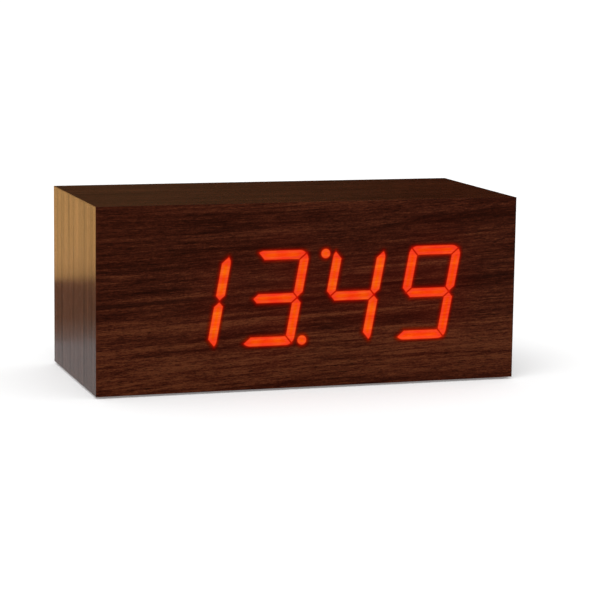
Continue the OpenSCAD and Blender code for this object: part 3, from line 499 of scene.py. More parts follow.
def fibreboard():
    """Pressed wood fibre: tan, with short darker and lighter hairs, darkened round the back panel by painted
    shade in the rebate together with a dark-stained edge.
    """
    g = Graph("fibreboard")
    point = g.place()
    hairs = g.noise(point, (1.4, 0.22, 0.3), 3.0, 0.65)
    cross = g.noise(point, (0.25, 0.9, 1.1), 3.0, 0.65)
    tone = (hairs + cross) * 0.6 + g.noise(point, (9, 9, 5)) * 0.4
    colour = g.ramp(tone, [
        (0.55, (0.120, 0.066, 0.032)), (0.8, (0.215, 0.128, 0.066)), (1.0, (0.32, 0.21, 0.12)),
    ])
    # Darker towards the back edge, where the board shows round the back panel: painted shade in the rebate
    # and a dark-stained edge
    shade_and_stain = g.rise(point[1], SHADE_AND_STAIN_Y - 1.0, SHADE_AND_STAIN_Y) * 0.9
    colour = g.blend(shade_and_stain, colour, (0.020, 0.007, 0.004))
    relief = g.bump(hairs, 0.5, 0.06)
    return g.principled(Base_Color=colour, Roughness=0.82, Normal=relief, Specular_IOR_Level=0.25)

def pine():
    """Planed softwood with late-wood lines along z."""
    g = Graph("pine")
    x, y, z = g.place()
    sway = g.noise((x, y, z), (30, 30, 60)) * 6.0
    lines = g.noise((x + sway, y + sway, z), (1.6, 1.6, 60))
    colour = g.ramp(lines, [
        (0.35, (0.60, 0.37, 0.16)), (0.55, (0.42, 0.21, 0.075)), (0.62, (0.62, 0.39, 0.17)),
    ])
    relief = g.bump(g.noise((x, y, z), (0.2, 0.2, 7)), 0.4, 0.05)
    return g.principled(Base_Color=colour, Roughness=0.66, Normal=relief, Specular_IOR_Level=0.3)

def circuit_board():
    """Green solder mask over copper tracks that run level in some areas and slant in others."""
    g = Graph("circuit board")
    x, y, z = g.place()
    slant = g.math("ABSOLUTE", g.math("FRACT", (x + z) * 0.42) - 0.5)
    level = g.math("ABSOLUTE", g.math("FRACT", z * 0.62) - 0.5)
    pick = g.math("GREATER_THAN", g.noise((x, y, z), 11, 0.0), 0.5)
    track = g.math("MAXIMUM", g.rise(level, 0.16, 0.12) * pick, g.rise(slant, 0.14, 0.10) * (1.0 - pick))
    weave = g.noise((x, y, z), 0.5, 1.0)
    base = g.blend(weave, (0.004, 0.055, 0.020), (0.006, 0.075, 0.028))
    colour = g.blend(track, base, (0.018, 0.150, 0.050))
    return g.principled(Base_Color=colour, Roughness=0.34, Normal=g.bump(track, 0.8, 0.03))

def resin():
    """Milky red-tinted resin with faint clouds."""
    g = Graph("segment resin")
    clouds = g.noise(g.place(), 2.2, 3.0)
    colour = g.mottled(clouds, (0.60, 0.20, 0.14), (0.72, 0.30, 0.22))
    return g.principled(Base_Color=colour, Roughness=0.42, Normal=g.bump(clouds, 0.2, 0.03))

def cell_jacket():
    """A printed foil jacket: deep blue with a silver band and marks, and tiny wrinkles."""
    g = Graph("cell jacket")
    point = g.place()
    wrinkle = g.noise(point, (6, 1.2, 1.2), 3.0)
    colour = g.mottled(g.noise(point, 0.3, 1.0), (0.012, 0.030, 0.052), (0.018, 0.042, 0.070))
    return g.principled(
        Base_Color=g.blend(g.rise(g.attribute("mark"), 0.35, 0.65), colour, (0.55, 0.57, 0.58)),
        Metallic=0.35,
        Roughness=wrinkle * 0.2 + 0.22,
        Normal=g.bump(wrinkle, 0.3, 0.03),
        Coat_Weight=0.4,
    )

def ribbon_plastic():
    """Grey ribbon insulation with one red edge."""
    g = Graph("ribbon plastic")
    point = g.place()
    grey = g.blend(g.noise(point, 4), (0.15, 0.15, 0.16), (0.21, 0.21, 0.22))
    colour = g.blend(g.rise(point[2], 50.1, 50.3), grey, (0.35, 0.02, 0.015))
    relief = g.bump(g.noise(point, 0.5), 0.3, 0.02)
    return g.principled(Base_Color=colour, Roughness=0.5, Normal=relief, Specular_IOR_Level=0.4)

# Meshes: a shape is a pair of points in millimetres and arrays of faces, which are rows of point numbers
def build_mesh(name, points, groups):
    """A mesh of a shape."""
    mesh = bpy.data.meshes.new(name)
    groups = [np.asarray(group) for group in groups if len(group)]
    corners = np.concatenate([group.reshape(-1) for group in groups])
    sizes = np.concatenate([np.full(len(group), group.shape[1]) for group in groups])
    starts = np.concatenate([[0], np.cumsum(sizes)[:-1]])
    mesh.vertices.add(len(points))
    mesh.loops.add(len(corners))
    mesh.polygons.add(len(sizes))
    mesh.vertices.foreach_set("co", (np.asarray(points, float) * MM).astype(np.float32).reshape(-1))
    mesh.loops.foreach_set("vertex_index", corners.astype(np.int32))
    mesh.polygons.foreach_set("loop_start", starts.astype(np.int32))
    mesh.update(calc_edges=True)
    mesh.validate()
    return mesh

def outward(mesh):
    """Turns every face of a closed mesh outwards."""
    work = bmesh.new()
    work.from_mesh(mesh)
    bmesh.ops.recalc_face_normals(work, faces=work.faces)
    work.to_mesh(mesh)
    work.free()

def put_in_place(name, mesh, material, body, replaced):
    """Puts a mesh in the scene as a piece that rides on a body in place of CAD nodes."""
    mesh.materials.append(material)
    piece = add_object(name, mesh)
    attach(piece, body)
    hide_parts(*replaced)

def add_piece(name, shape, material, body, slot, replaced, angle=32, **numbers):
    """A piece of a shape, smooth but for edges over the angle, with numbers kept on its points."""
    mesh = build_mesh(name, *shape)
    for key, values in numbers.items():
        layer = mesh.attributes.new(key, "FLOAT", "POINT")
        layer.data.foreach_set("value", np.asarray(values, np.float32))
    outward(mesh)
    mesh.polygons.foreach_set("use_smooth", np.ones(len(mesh.polygons), bool))
    mesh.set_sharp_from_angle(angle=math.radians(angle))
    put_in_place(name, mesh, material, body, replaced)

def grid_faces(rows, columns, wrap=False):
    """Quads between points numbered row by row; wrap joins each row's end to its start."""
    r = np.arange(rows - 1)[:, None] * columns
    c = np.arange(columns if wrap else columns - 1)[None, :]
    n = (c + 1) % columns
    return np.stack([r + c, r + n, r + columns + n, r + columns + c], -1).reshape(-1, 4)

def merged(shapes):
    """Joins shapes into one."""
    points, groups, start = [], [], 0
    for part_points, part_groups in shapes:
        points.append(part_points)
        groups += [np.asarray(group) + start for group in part_groups]
        start += len(part_points)
    return np.concatenate(points), groups

def circle(radius, sides):
    """Points (r cos t, r sin t) going round once."""
    angle = np.arange(sides) * 2 * np.pi / sides
    return np.stack([np.cos(angle), np.sin(angle)], -1) * radius

def unit(vectors):
    """Each vector over its length."""
    return vectors / np.linalg.norm(vectors, axis=1)[:, None]

def turned(profile, sides):
    """A closed turned body: the profile's (radius, height) points carried round the height axis.

    A ring point is (r cos t, r sin t, h), and the first and last points lie on the axis.
    """
    profile = np.asarray(profile, float)
    ring = profile[1:-1]
    level = ring[:, :1, None] * circle(1, sides)[None]
    height = np.repeat(ring[:, 1:], sides, axis=1)[..., None]
    points = np.concatenate([level, height], -1).reshape(-1, 3)
    ends = np.array([[0, 0, profile[0, 1]], [0, 0, profile[-1, 1]]])
    count = len(points)
    around = np.arange(sides)
    after = (around + 1) % sides
    last = count - sides
    first_fan = np.stack([np.full(sides, count), after, around], -1)
    last_fan = np.stack([np.full(sides, count + 1), last + around, last + after], -1)
    return np.concatenate([points, ends]), [grid_faces(len(ring), sides, wrap=True), first_fan, last_fan]

def facing(shape, axes, centre):
    """A shape turned so that its x, y and z run along, up and out of a face, and moved to a centre."""
    points, groups = shape
    return points @ np.array(axes, float) + np.array(centre, float), groups

def stacked(rows):
    """A closed body of rows of points, each row joined round to the next, with the end rows as its ends."""
    count, n = rows.shape[:2]
    first = np.arange(n)[None]
    last = (count - 1) * n + np.arange(n)[None, ::-1]
    return rows.reshape(-1, 3), [grid_faces(count, n, wrap=True), first, last]

def swept(path, up, outline):
    """A closed tube: the outline's (across, up) points carried along the path, square to it.

    Across is the path's direction times up, and the outline's own up is across times the direction.
    """
    ahead = unit(np.gradient(path, axis=0))
    across = unit(np.cross(ahead, up))
    level = outline[None, :, :1] * across[:, None]
    raised = outline[None, :, 1:] * np.cross(across, ahead)[:, None]
    return stacked(path[:, None] + level + raised)

def eased_lines(low, high, step, ease_low, ease_high):
    """Grid lines from low to high about a step apart, closer where an edge is eased."""
    bow = EDGE_R * (1 - np.sin(np.radians([90, 72, 54, 36, 18, 0])))
    inner = np.linspace(low + EDGE_R, high - EDGE_R, max(2, int((high - low) / step)))
    inner = np.concatenate([inner[:1], [inner[0] + 0.05], inner[1:-1], [inner[-1] - 0.05], inner[-1:]])
    start = low + bow if ease_low else np.array([low])
    end = high - bow if ease_high else np.array([high])
    return np.unique(np.round(np.concatenate([start, inner, end]), 5))

def plate(axes, out, u_lines, v_lines, eased):
    """A closed sheet of veneer with eased edges.

    Over (u, v) the face drops by r - sqrt(r^2 - s^2), where s is how far a point is within r of an eased
    border.
    """
    u, v = np.meshgrid(u_lines, v_lines, indexing="ij")
    gaps = [u - u_lines[0], u_lines[-1] - u, v - v_lines[0], v_lines[-1] - v]
    drop = np.zeros_like(u)
    for gap, is_eased in zip(gaps, eased):
        if is_eased:
            inside = np.clip(EDGE_R - gap, 0, EDGE_R)
            drop = np.maximum(drop, EDGE_R - np.sqrt(EDGE_R**2 - inside**2))
    face = np.stack([u, v, out - drop], -1).reshape(-1, 3)
    rows, columns = u.shape
    number = np.arange(rows * columns).reshape(rows, columns)
    border = np.concatenate([number[:-1, 0], number[-1, :-1], number[:0:-1, -1], number[0, :0:-1]])
    rim = face[border].copy()
    rim[:, 2] = out - VENEER_T
    back = number.size + np.arange(len(border))
    walls = np.stack([border, back, np.roll(back, -1), np.roll(border, -1)], -1)
    points = np.concatenate([face, rim]) @ np.array(axes, float)
    return points, [grid_faces(rows, columns), walls, back[None]]

# Digits
def flipped(points, x, z):
    """An outline with its signs changed."""
    return [(x * px, z * pz) for px, pz in points]

def leaned(points):
    """Points moved sideways in proportion to their height."""
    points = np.array(points, float)
    return points + np.stack([DIGIT_LEAN * points[:, 1], np.zeros(len(points))], -1)

def segment_outline(segment):
    """The leaning outline of one segment of a digit about its middle, as its light shows on the veneer."""
    w, h = DIGIT_W / 2, DIGIT_H / 2
    x0, x1, xm = w - SEGMENT_W, w, w - SEGMENT_W / 2
    z0, z1, zh = h - SEGMENT_W, h, SEGMENT_W / 2
    k = LIGHT_GAP / math.sqrt(2)
    side = [(x0, x0 + h - w - k), (x1, x1 + h - w - k), (x1, x1 - xm + k), (xm, k), (x0, xm - x0 + k)]
    bar = [(z1 - h + w - k, z1), (z0 - h + w - k, z0), (-(z0 - h + w - k), z0), (-(z1 - h + w - k), z1)]
    middle = [
        (xm - k, 0), (xm - k - zh, zh), (-(xm - k - zh), zh),
        (-(xm - k), 0), (-(xm - k - zh), -zh), (xm - k - zh, -zh),
    ]
    shapes = {
        "a": bar, "b": side, "c": flipped(side, 1, -1), "d": flipped(bar, 1, -1),
        "e": flipped(side, -1, -1), "f": flipped(side, -1, 1), "g": middle,
    }
    return leaned(shapes[segment])

def rounded_outline():
    """The leaned rectangle round a digit, each corner an arc that touches both its sides.

    An arc's middle lies on its corner's bisector, at the radius over the sine of half the corner's angle.
    """
    w, h = DIGIT_W / 2, DIGIT_H / 2
    corners = leaned([(w, h), (-w, h), (-w, -h), (w, -h)])
    arcs = []
    for i, corner in enumerate(corners):
        before, after = unit(np.stack([corners[i - 1], corners[(i + 1) % 4]]) - corner)
        half = math.acos(before @ after) / 2
        bisector = (before + after) / np.linalg.norm(before + after)
        middle = corner + bisector * DIGIT_ROUND / math.sin(half)
        start = corner + before * DIGIT_ROUND / math.tan(half) - middle
        end = corner + after * DIGIT_ROUND / math.tan(half) - middle
        turn = math.atan2(start[0] * end[1] - start[1] * end[0], start @ end)
        t = math.atan2(start[1], start[0]) + turn * np.linspace(0, 1, 9)
        arcs.append(middle + DIGIT_ROUND * np.stack([np.cos(t), np.sin(t)], -1))
    return np.concatenate(arcs)

def outline_distance(points, outline):
    """Distance from each point to a convex outline's line, below 0 inside it."""
    ends = np.roll(outline, -1, axis=0)
    along = ends - outline
    away = points[:, None] - outline[None]
    share = np.clip((away * along).sum(-1) / (along**2).sum(1), 0, 1)
    nearest = np.linalg.norm(away - share[..., None] * along, axis=2).min(1)
    area = (outline[:, 0] * ends[:, 1] - outline[:, 1] * ends[:, 0]).sum()
    side = (along[None, :, 0] * away[..., 1] - along[None, :, 1] * away[..., 0]) * np.sign(area)
    return np.where((side >= 0).all(1), -nearest, nearest)

def common_distance(first, second):
    """Distance to what two shapes share: the larger of both, or their hypotenuse where both are above 0."""
    outside = np.hypot(np.maximum(first, 0), np.maximum(second, 0))
    return np.where(np.maximum(first, second) > 0, outside, np.maximum(first, second))

def chip_places(segment):
    """The places of the light chips behind one segment."""
    bar_x, bar_z, side_x = 5.5, (DIGIT_H - SEGMENT_W) / 2, (DIGIT_W - SEGMENT_W) / 2
    if segment in "agd":
        z = {"a": bar_z, "g": 0.0, "d": -bar_z}[segment]
        return leaned([(-bar_x, z), (bar_x, z)])
    x = side_x if segment in "bc" else -side_x
    sign = 1 if segment in "bf" else -1
    return leaned([(x, sign * 0.3 * bar_z), (x, sign * 0.7 * bar_z)])

def light_numbers(points):
    """For points of the face: distances to the lit segments of each set, the chips' light and the spill.

    A chip adds its level times exp(-(d/reach)^2), and the spill is the same with a longer reach.
    """
    glow = np.full((len(TOUCHING_SETS), len(points)), FAR_FROM_LIGHT)
    chips = np.zeros(len(points))
    spill = np.zeros(len(points))
    outer = rounded_outline()
    margin = 2 * FAR_FROM_LIGHT
    for i, figure in enumerate(SHOWN):
        centre = np.array([DIGITS_X + (i - (len(SHOWN) - 1) / 2) * DIGIT_PITCH, DIGITS_Z])
        local = points - centre - DIGIT_SHIFTS[i]
        near = (np.abs(local) < (DIGIT_W / 2 + margin, DIGIT_H / 2 + margin)).all(1)
        spot = local[near]
        bound = outline_distance(spot, outer)
        for segment in FIGURES[figure]:
            k = [segment in letters for letters in TOUCHING_SETS].index(True)
            distance = common_distance(outline_distance(spot, segment_outline(segment)), bound)
            glow[k, near] = np.minimum(glow[k, near], distance)
            level = DIGIT_LEVELS[i] * (BAR_LEVEL if segment in "agd" else 1.0)
            for chip in chip_places(segment):
                chips[near] += level * np.exp(-((spot - chip) ** 2).sum(1) / CHIP_REACH**2)
                spill += SPILL_LEVEL * np.exp(-((local - chip) ** 2).sum(1) / SPILL_REACH**2)
        if i in DOTS:
            away = np.linalg.norm(spot - DOTS[i], axis=1)
            glow[0, near] = np.minimum(glow[0, near], away - DOT_R)
            chips[near] += np.exp(-(away**2) / CHIP_REACH**2)
    return {"chips": chips, "spill": spill, **{"glow_%d" % k: row for k, row in enumerate(glow)}}

def make_front(material):
    """The front veneer as one sheet, with a fine grid where the light shines through."""
    lines = []
    for low, high, lit in ((-HALF_W, HALF_W, LIT_X), (CASE_Z0, CASE_Z1, LIT_Z)):
        coarse = eased_lines(low, high, SHEET_STEP, True, True)
        fine = np.arange(lit[0], lit[1] + 0.01, LIT_STEP)
        lines.append(np.unique(np.concatenate([coarse, fine]).round(5)))
    points, groups = plate(FRONT, -FACE_Y, *lines, (1, 1, 1, 1))
    numbers = light_numbers(points[:, ::2])
    nodes = ["veneer_front", "lit_veneer"]
    add_piece("front_sheet", (points, groups), material, "case", "walnut_veneer", nodes, **numbers)

def make_sheets(level, upright):
    """The veneer of the top, bottom and ends, each with eased outer edges."""
    wide = (-HALF_W, HALF_W)
    deep = (FACE_Y + VENEER_T, REAR_Y)
    deep_back = (-REAR_Y, -FACE_Y - VENEER_T)
    tall = (CASE_Z0 + VENEER_T, CASE_Z1 - VENEER_T)
    for side, axes, out, u_range, v_range, eased, material in (
        ("top", TOP, CASE_Z1, wide, deep, (1, 1, 0, 1), level),
        ("bottom", BOTTOM, -CASE_Z0, wide, deep_back, (1, 1, 1, 0), level),
        ("left", LEFT, HALF_W, deep_back, tall, (1, 0, 0, 0), upright),
        ("right", RIGHT, HALF_W, deep, tall, (0, 1, 0, 0), upright),
    ):
        u = eased_lines(*u_range, SHEET_STEP, *eased[:2])
        v = eased_lines(*v_range, SHEET_STEP, *eased[2:])
        sheet = plate(axes, out, u, v, eased)
        add_piece(side + "_sheet", sheet, material, "case", "walnut_veneer", ["veneer_" + side])

def make_bands(level, upright):
    """Four mitred strips on the back edges.

    Half a strip's length is half the outer one plus how far out a point lies, less the outermost distance.
    """
    outer_w, outer_h = HALF_W - VENEER_T, (CASE_Z1 - CASE_Z0) / 2 - VENEER_T
    joint = 0.05
    share = np.linspace(-1, 1, 41)
    for name, half, side, inner, material, sign in (
        ("top_band", outer_w, outer_h, INNER_HALF_H, level, 1),
        ("bottom_band", outer_w, outer_h, INNER_HALF_H, level, -1),
        ("left_band", outer_h, outer_w, INNER_HALF_W, upright, -1),
        ("right_band", outer_h, outer_w, INNER_HALF_W, upright, 1),
    ):
        v = eased_lines(inner, side, BAND_STEP, True, False)
        points, groups = plate(TOP, REAR_Y, share, v, (0, 0, 1, 0))
        along = points[:, 0] * (points[:, 1] - side + half - joint * math.sqrt(2))
        across = points[:, 1] * sign
        x, z = (along, across) if material is level else (across, along)
        band = np.stack([x, points[:, 2], z + MID_Z], -1), groups
        add_piece(name, band, material, "case", "walnut_veneer", ["back_edge_bands"])

# Fasteners, feet and controls
def cross_recess(points, top, reach, half_w, depth):
    """Sinks the top of a turned head by two crossed grooves with steep sides that get deeper inwards."""
    x = (points[:, 0] + points[:, 1]) / math.sqrt(2)
    y = (points[:, 0] - points[:, 1]) / math.sqrt(2)
    wall, taper = 0.16, 0.75 * reach
    arms = []
    for p, q in ((x, y), (y, x)):
        side = np.clip((half_w - np.abs(q)) / wall + 0.5, 0, 1)
        end = np.clip((reach - np.abs(p)) / taper, 0, 1)
        arms.append(side * end)
    sink = depth * np.maximum(*arms)
    sunk = points.copy()
    sunk[:, 2] -= np.where(points[:, 2] > top - 0.2, sink, 0)
    return sunk

def screw(head_r, head_t, shank_r, length, reach, half_w, depth):
    """A countersunk cross-head screw with its flat top at height 0: tip, ridges, cone and recessed head."""
    pitch, ridge, plain = 0.8, 0.22, 2.5
    turns = int((length - head_t - plain) / pitch)
    thread = []
    for i in range(turns):
        low = -length + 1.6 + i * pitch
        thread += [(shank_r - ridge, low), (shank_r, low + pitch / 2)]
    tip = [(0, -length), (0.12, -length + 0.05), (shank_r - ridge, -length + 1.5)]
    cone = [(shank_r - 0.05, -head_t - 0.4), (shank_r, -head_t), (head_r - 0.08, -0.12), (head_r, -0.05)]
    top = [(r, 0.0) for r in np.linspace(head_r - 0.06, 0.1, 44)]
    points, groups = turned(tip + thread + cone + top + [(0, 0.0)], 144)
    return cross_recess(points, 0, reach, half_w, depth), groups

def make_screws(metal):
    """The four back screws and the four small ones through the flanges."""
    for name, node, y, centres, sizes in (
        ("case_screws", "back_screws", PANEL_Y - 0.1, CASE_SCREWS, (3.0, 1.7, 1.5, 16, 1.75, 0.42, 1.0)),
        ("panel_screws", "flange_screws", FLANGE_Y, FLANGE_SCREWS, (1.9, 1.0, 1.0, 7, 1.15, 0.27, 0.6)),
    ):
        one = screw(*sizes)
        all_four = merged([facing(one, BACK, (x, y, z)) for x, z in centres])
        add_piece(name, all_four, metal, "case", "case_screw", [node], 38)

def make_feet(material):
    """Foam pads with a rolled edge and a slightly hollow face on the floor side."""
    profile = [
        (0, -0.82), (2.0, -0.83), (4.0, -0.9), (5.0, -0.99), (5.4, -1.0), (5.75, -0.93),
        (5.94, -0.76), (6.0, -0.5), (5.98, -0.15), (6.0, 0), (3, 0), (0, 0),
    ]
    pad = turned(profile, 72)
    pads = merged([facing(pad, TOP, (x, y, CASE_Z0)) for x, y in FOOT_CENTRES])
    add_piece("feet", pads, material, "case", "rubber_pad", ["foot_pads"])

def mark_distance(kind, x, y):
    """Distance to a plain mark about the middle: a ring, or a triangle that points up or down."""
    ring_r, half_line = 1.05, 0.2
    if kind == "set_button":
        return np.abs(np.hypot(x, y) - ring_r) - half_line
    sign = 1 if kind == "up_button" else -1
    corners = np.array([(-1.2, -0.75), (1.2, -0.75), (0.0, 1.15)])
    return outline_distance(np.stack([x, sign * y], -1), corners)

def make_buttons(material):
    """Round buttons with a raised mark on a dished top, a collar behind the panel and a stem to the switch.

    The top lies lower than its edge by the hollow times 1 - (r/r0)^2.
    """
    top, hollow, hollow_r, raised, blur = 43.0, 0.25, 2.8, 0.1, 0.12
    stem = [
        (0, 33.9), (1.35, 33.9), (1.6, 34.15), (1.6, 38.5), (4.1, 38.5), (4.3, 38.7), (4.3, 39.55),
        (4.15, 39.7), (3.3, 39.7), (3.3, 42.6),
    ]
    edge = [(3.26, 42.78), (3.16, 42.91), (3.02, 42.985), (2.86, top)]
    dish = [(r, top - hollow * (1 - (r / hollow_r) ** 2)) for r in np.linspace(2.74, 0.06, 40)]
    plain, groups = turned(stem + edge + dish + [(0, top - hollow)], 96)
    for node, x in BUTTON_XS.items():
        points = plain.copy()
        distance = mark_distance(node, points[:, 0], points[:, 1])
        mark = np.clip(0.5 - distance / blur, 0, 1) * (points[:, 2] > top - hollow - 0.05)
        points[:, 2] += raised * mark
        cap = facing((points, groups), BACK, (x, 0, MID_Z))
        add_piece(node + "_cap", cap, material, node, "button_plastic", [node], mark=mark)

def make_knob(material):
    """The slide switch's knob: a comb-shaped outline with three rounded ribs, carried up its height.

    A row of points is the outline drawn in towards its middle by the inset of its height.
    """
    half = 1.0
    low, base, top = 34.3, 42.6, 43.0
    rib_r = 0.15
    outline = [(-half, low), (-half, base - 0.1), (-half + 0.1, base)]
    for middle in (-0.6, 0.0, 0.6):
        outline += [(middle - rib_r, base)]
        for angle in np.radians(np.linspace(180, 0, 7)):
            outline += [(middle + rib_r * math.cos(angle), top - rib_r + rib_r * math.sin(angle))]
        outline += [(middle + rib_r, base)]
    outline += [(half - 0.1, base), (half, base - 0.1), (half, low)]
    outline = np.array(outline)
    rounding = np.array([[0, 0.10], [0.03, 0.05], [0.1, 0.015], [0.2, 0]])
    heights = np.concatenate([rounding[:, 0] - half, [0], half - rounding[::-1, 0]])
    inset = np.concatenate([rounding[:, 1], [0], rounding[::-1, 1]])[:, None]
    middle_y = (low + top) / 2
    x = outline[:, 0] * (1 - inset / half)
    y = middle_y + (outline[:, 1] - middle_y) * (1 - inset / (top - middle_y))
    z = np.repeat(heights[:, None], len(outline), axis=1)
    knob = stacked(np.stack([x + KNOB_X, y, z + MID_Z], -1))
    add_piece("slide_knob", knob, material, "switch_knob", "knob_plastic", ["switch_knob"])

def set_corner_normals(mesh, limit):
    """Smooths a mesh but for edges over a limit, in degrees.

    A corner's normal is the mean, by area, of the faces round its point whose directions lie within the
    limit of its own.
    """
    corners, faces = len(mesh.loops), len(mesh.polygons)
    vertex = np.empty(corners, np.int32)
    mesh.loops.foreach_get("vertex_index", vertex)
    sizes = np.empty(faces, np.int32)
    mesh.polygons.foreach_get("loop_total", sizes)
    face = np.repeat(np.arange(faces), sizes)
    normals = np.empty(faces * 3)
    mesh.polygons.foreach_get("normal", normals)
    areas = np.empty(faces)
    mesh.polygons.foreach_get("area", areas)
    own = normals.reshape(-1, 3)[face]
    weight = areas[face][:, None]
    order = np.argsort(vertex, kind="stable")
    total = own * weight
    for step in range(1, int(np.bincount(vertex).max())):
        first, second = order[:-step], order[step:]
        pair = vertex[first] == vertex[second]
        first, second = first[pair], second[pair]
        close = (own[first] * own[second]).sum(1) > math.cos(math.radians(limit))
        first, second = first[close], second[close]
        np.add.at(total, first, own[second] * weight[second])
        np.add.at(total, second, own[first] * weight[first])
    mesh.polygons.foreach_set("use_smooth", np.ones(faces, bool))
    mesh.normals_split_custom_set(unit(total))

def eased_copy(name, node, body, material, width):
    """A CAD node's merged copy with its sharp edges rounded."""
    work = bmesh.new()
    work.from_mesh(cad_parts[node].data)
    bmesh.ops.remove_doubles(work, verts=work.verts, dist=0.002 * MM)
    bmesh.ops.dissolve_limit(work, angle_limit=math.radians(0.5), verts=work.verts, edges=work.edges)
    sharp = [edge for edge in work.edges if edge.calc_face_angle(0) > math.radians(35)]
    bmesh.ops.bevel(
        work, geom=sharp, offset=width * MM, segments=3, profile=0.5, affect="EDGES", clamp_overlap=True,
    )
    bmesh.ops.dissolve_degenerate(work, dist=0.001 * MM, edges=work.edges)
    mesh = bpy.data.meshes.new(name)
    work.to_mesh(mesh)
    work.free()
    set_corner_normals(mesh, 50)
    put_in_place(name, mesh, material, body, [node])

# Battery box
def jacket_profile(low, high):
    """A jacket's profile from its low to its high end, with a lip rolled over each end."""
    lip = [(1.2, 0.4), (0.75, 0.12), (0.6, 0.03), (0.35, 0.03), (0.12, 0.14), (0.0, 0.4)]
    body = [(CELL_R, h) for h in np.linspace(low + 0.7, high - 0.7, 120)]
    first = [(CELL_R - inward, low + along) for inward, along in lip]
    last = [(CELL_R - inward, high - along) for inward, along in reversed(lip)]
    return [(0, low + 0.5)] + first + body + last + [(0, high - 0.5)]

def line_distance(x, y, a, b):
    """Distance from points to the line from a to b."""
    ax, ay = a
    dx, dy = b[0] - ax, b[1] - ay
    share = np.clip(((x - ax) * dx + (y - ay) * dy) / (dx * dx + dy * dy), 0, 1)
    return np.hypot(x - ax - share * dx, y - ay - share * dy)

def cell_mark(around, along, low, high):
    """How much a jacket's point is printed: a plus and a ring by the high end and a minus by the low end."""
    arm, half_line, blur = 1.3, 0.28, 0.3
    plus_at, minus_at, ring_at, ring_half = high - 8.5, low + 6.5, high - 3.0, 1.1
    distance = np.abs(along - ring_at) - ring_half
    for a, b in (
        ((-arm, plus_at), (arm, plus_at)), ((0, plus_at - arm), (0, plus_at + arm)),
        ((-arm, minus_at), (arm, minus_at)),
    ):
        distance = np.minimum(distance, line_distance(around, along, a, b) - half_line)
    return np.clip(0.5 - distance / blur, 0, 1)

def make_cells(jacket, metal):
    """Four cells, each with a printed jacket, a flat cap at one end and a crimped button at the other."""
    cap_r, button_h = CELL_R - 0.9, 1.0
    cap = [(0, 0), (2.6, 0), (3.0, 0.08), (3.2, 0.28), (cap_r, 0.3), (cap_r, 0.6), (0, 0.6)]
    button = [
        (0, -0.6), (cap_r, -0.6), (cap_r, -0.34), (2.5, -0.3), (2.1, -0.2), (1.9, 0), (1.86, 0.75),
        (1.72, 0.93), (1.5, button_h), (0, button_h),
    ]
    for i in range(4):
        name = "cell_%d" % (i + 1)
        node = "battery_" + name
        box_low, box_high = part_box(node)
        way = 1 if i % 2 == 0 else -1
        length = (box_high[0] - box_low[0]) / MM
        middle = (box_low[0] + box_high[0]) / 2 / MM
        place = ((0, 0, -way), (0, 1, 0), (way, 0, 0)), (middle, CELL_Y, CELL_Z0 + i * CELL_PITCH)
        low, high = -length / 2, length / 2 - button_h
        points, groups = turned(jacket_profile(low, high), 96)
        around = np.arctan2(points[:, 0], points[:, 1]) * CELL_R
        mark = cell_mark(around, points[:, 2], low, high)
        body = facing((points, groups), *place)
        add_piece(name + "_jacket", body, jacket, "case", "cell_jacket", [node], mark=mark)
        ends = [[(r, at + h) for r, h in profile] for profile, at in ((cap, low), (button, high))]
        caps = facing(merged([turned(end, 72) for end in ends]), *place)
        add_piece(name + "_caps", caps, metal, "case", "plated_metal", [node])

def make_springs(metal):
    """Conical springs: a wire carried along a coil whose radius falls from one end to the other."""
    wire_r, wide, narrow, gap, contact_t, room = 0.3, 3.4, 2.6, 0.05, 0.4, 4.0
    turns, steps = 3, 32
    t = np.linspace(0, 1, turns * steps + 1)
    angle = 2 * np.pi * turns * t
    ups = np.stack([np.zeros_like(t), np.cos(angle), np.sin(angle)], -1)
    springs = []
    for i in range(4):
        way = 1 if i % 2 == 0 else -1
        x0 = BATTERY_X - way * (POCKET_HALF_W - contact_t - wire_r - gap)
        run = way * (room - 2 * wire_r - 2 * gap)
        centre = np.array([x0, CELL_Y, CELL_Z0 + i * CELL_PITCH])
        path = centre + ups * (wide + (narrow - wide) * t)[:, None]
        path[:, 0] += run * t
        springs.append(swept(path, ups, circle(wire_r, 12)))
    add_piece("cell_springs", merged(springs), metal, "case", "plated_metal", ["contact_springs"], 50)

# Wires inside
def make_ribbon(material):
    """The flat cable between the boards: a ribbed strip carried along an S, straight at both ends.

    Its sideways swing goes as sin(2 pi t)(1 - cos(2 pi t)), and it has one rib for each wire.
    """
    wires, width, thick, swing, straight = 10, 12.7, 0.9, 7.0, 2.0
    y0, y1, x0 = -26.9, 23.4, 75.0
    t = np.linspace(0, 1, 65)
    x = x0 + swing * np.sin(2 * np.pi * t) * (1 - np.cos(2 * np.pi * t)) / 1.3
    y = y0 + straight + (y1 - y0 - 2 * straight) * t
    path = np.stack([np.r_[x0, x, x0], np.r_[y0, y, y1], np.full(len(t) + 2, MID_Z)], -1)
    across = np.linspace(-1, 1, wires * 8 + 1)
    half = thick / 2 * (0.62 + 0.38 * np.abs(np.sin(across * np.pi * wires / 2)))
    flat = across * width / 2
    outline = np.concatenate([np.stack([half, flat], -1), np.stack([-half, flat], -1)[::-1]])
    ribbon = swept(path, (0, 0, 1), outline)
    add_piece("ribbon", ribbon, material, "case", "ribbon_plastic", ["ribbon_cable"], 60)

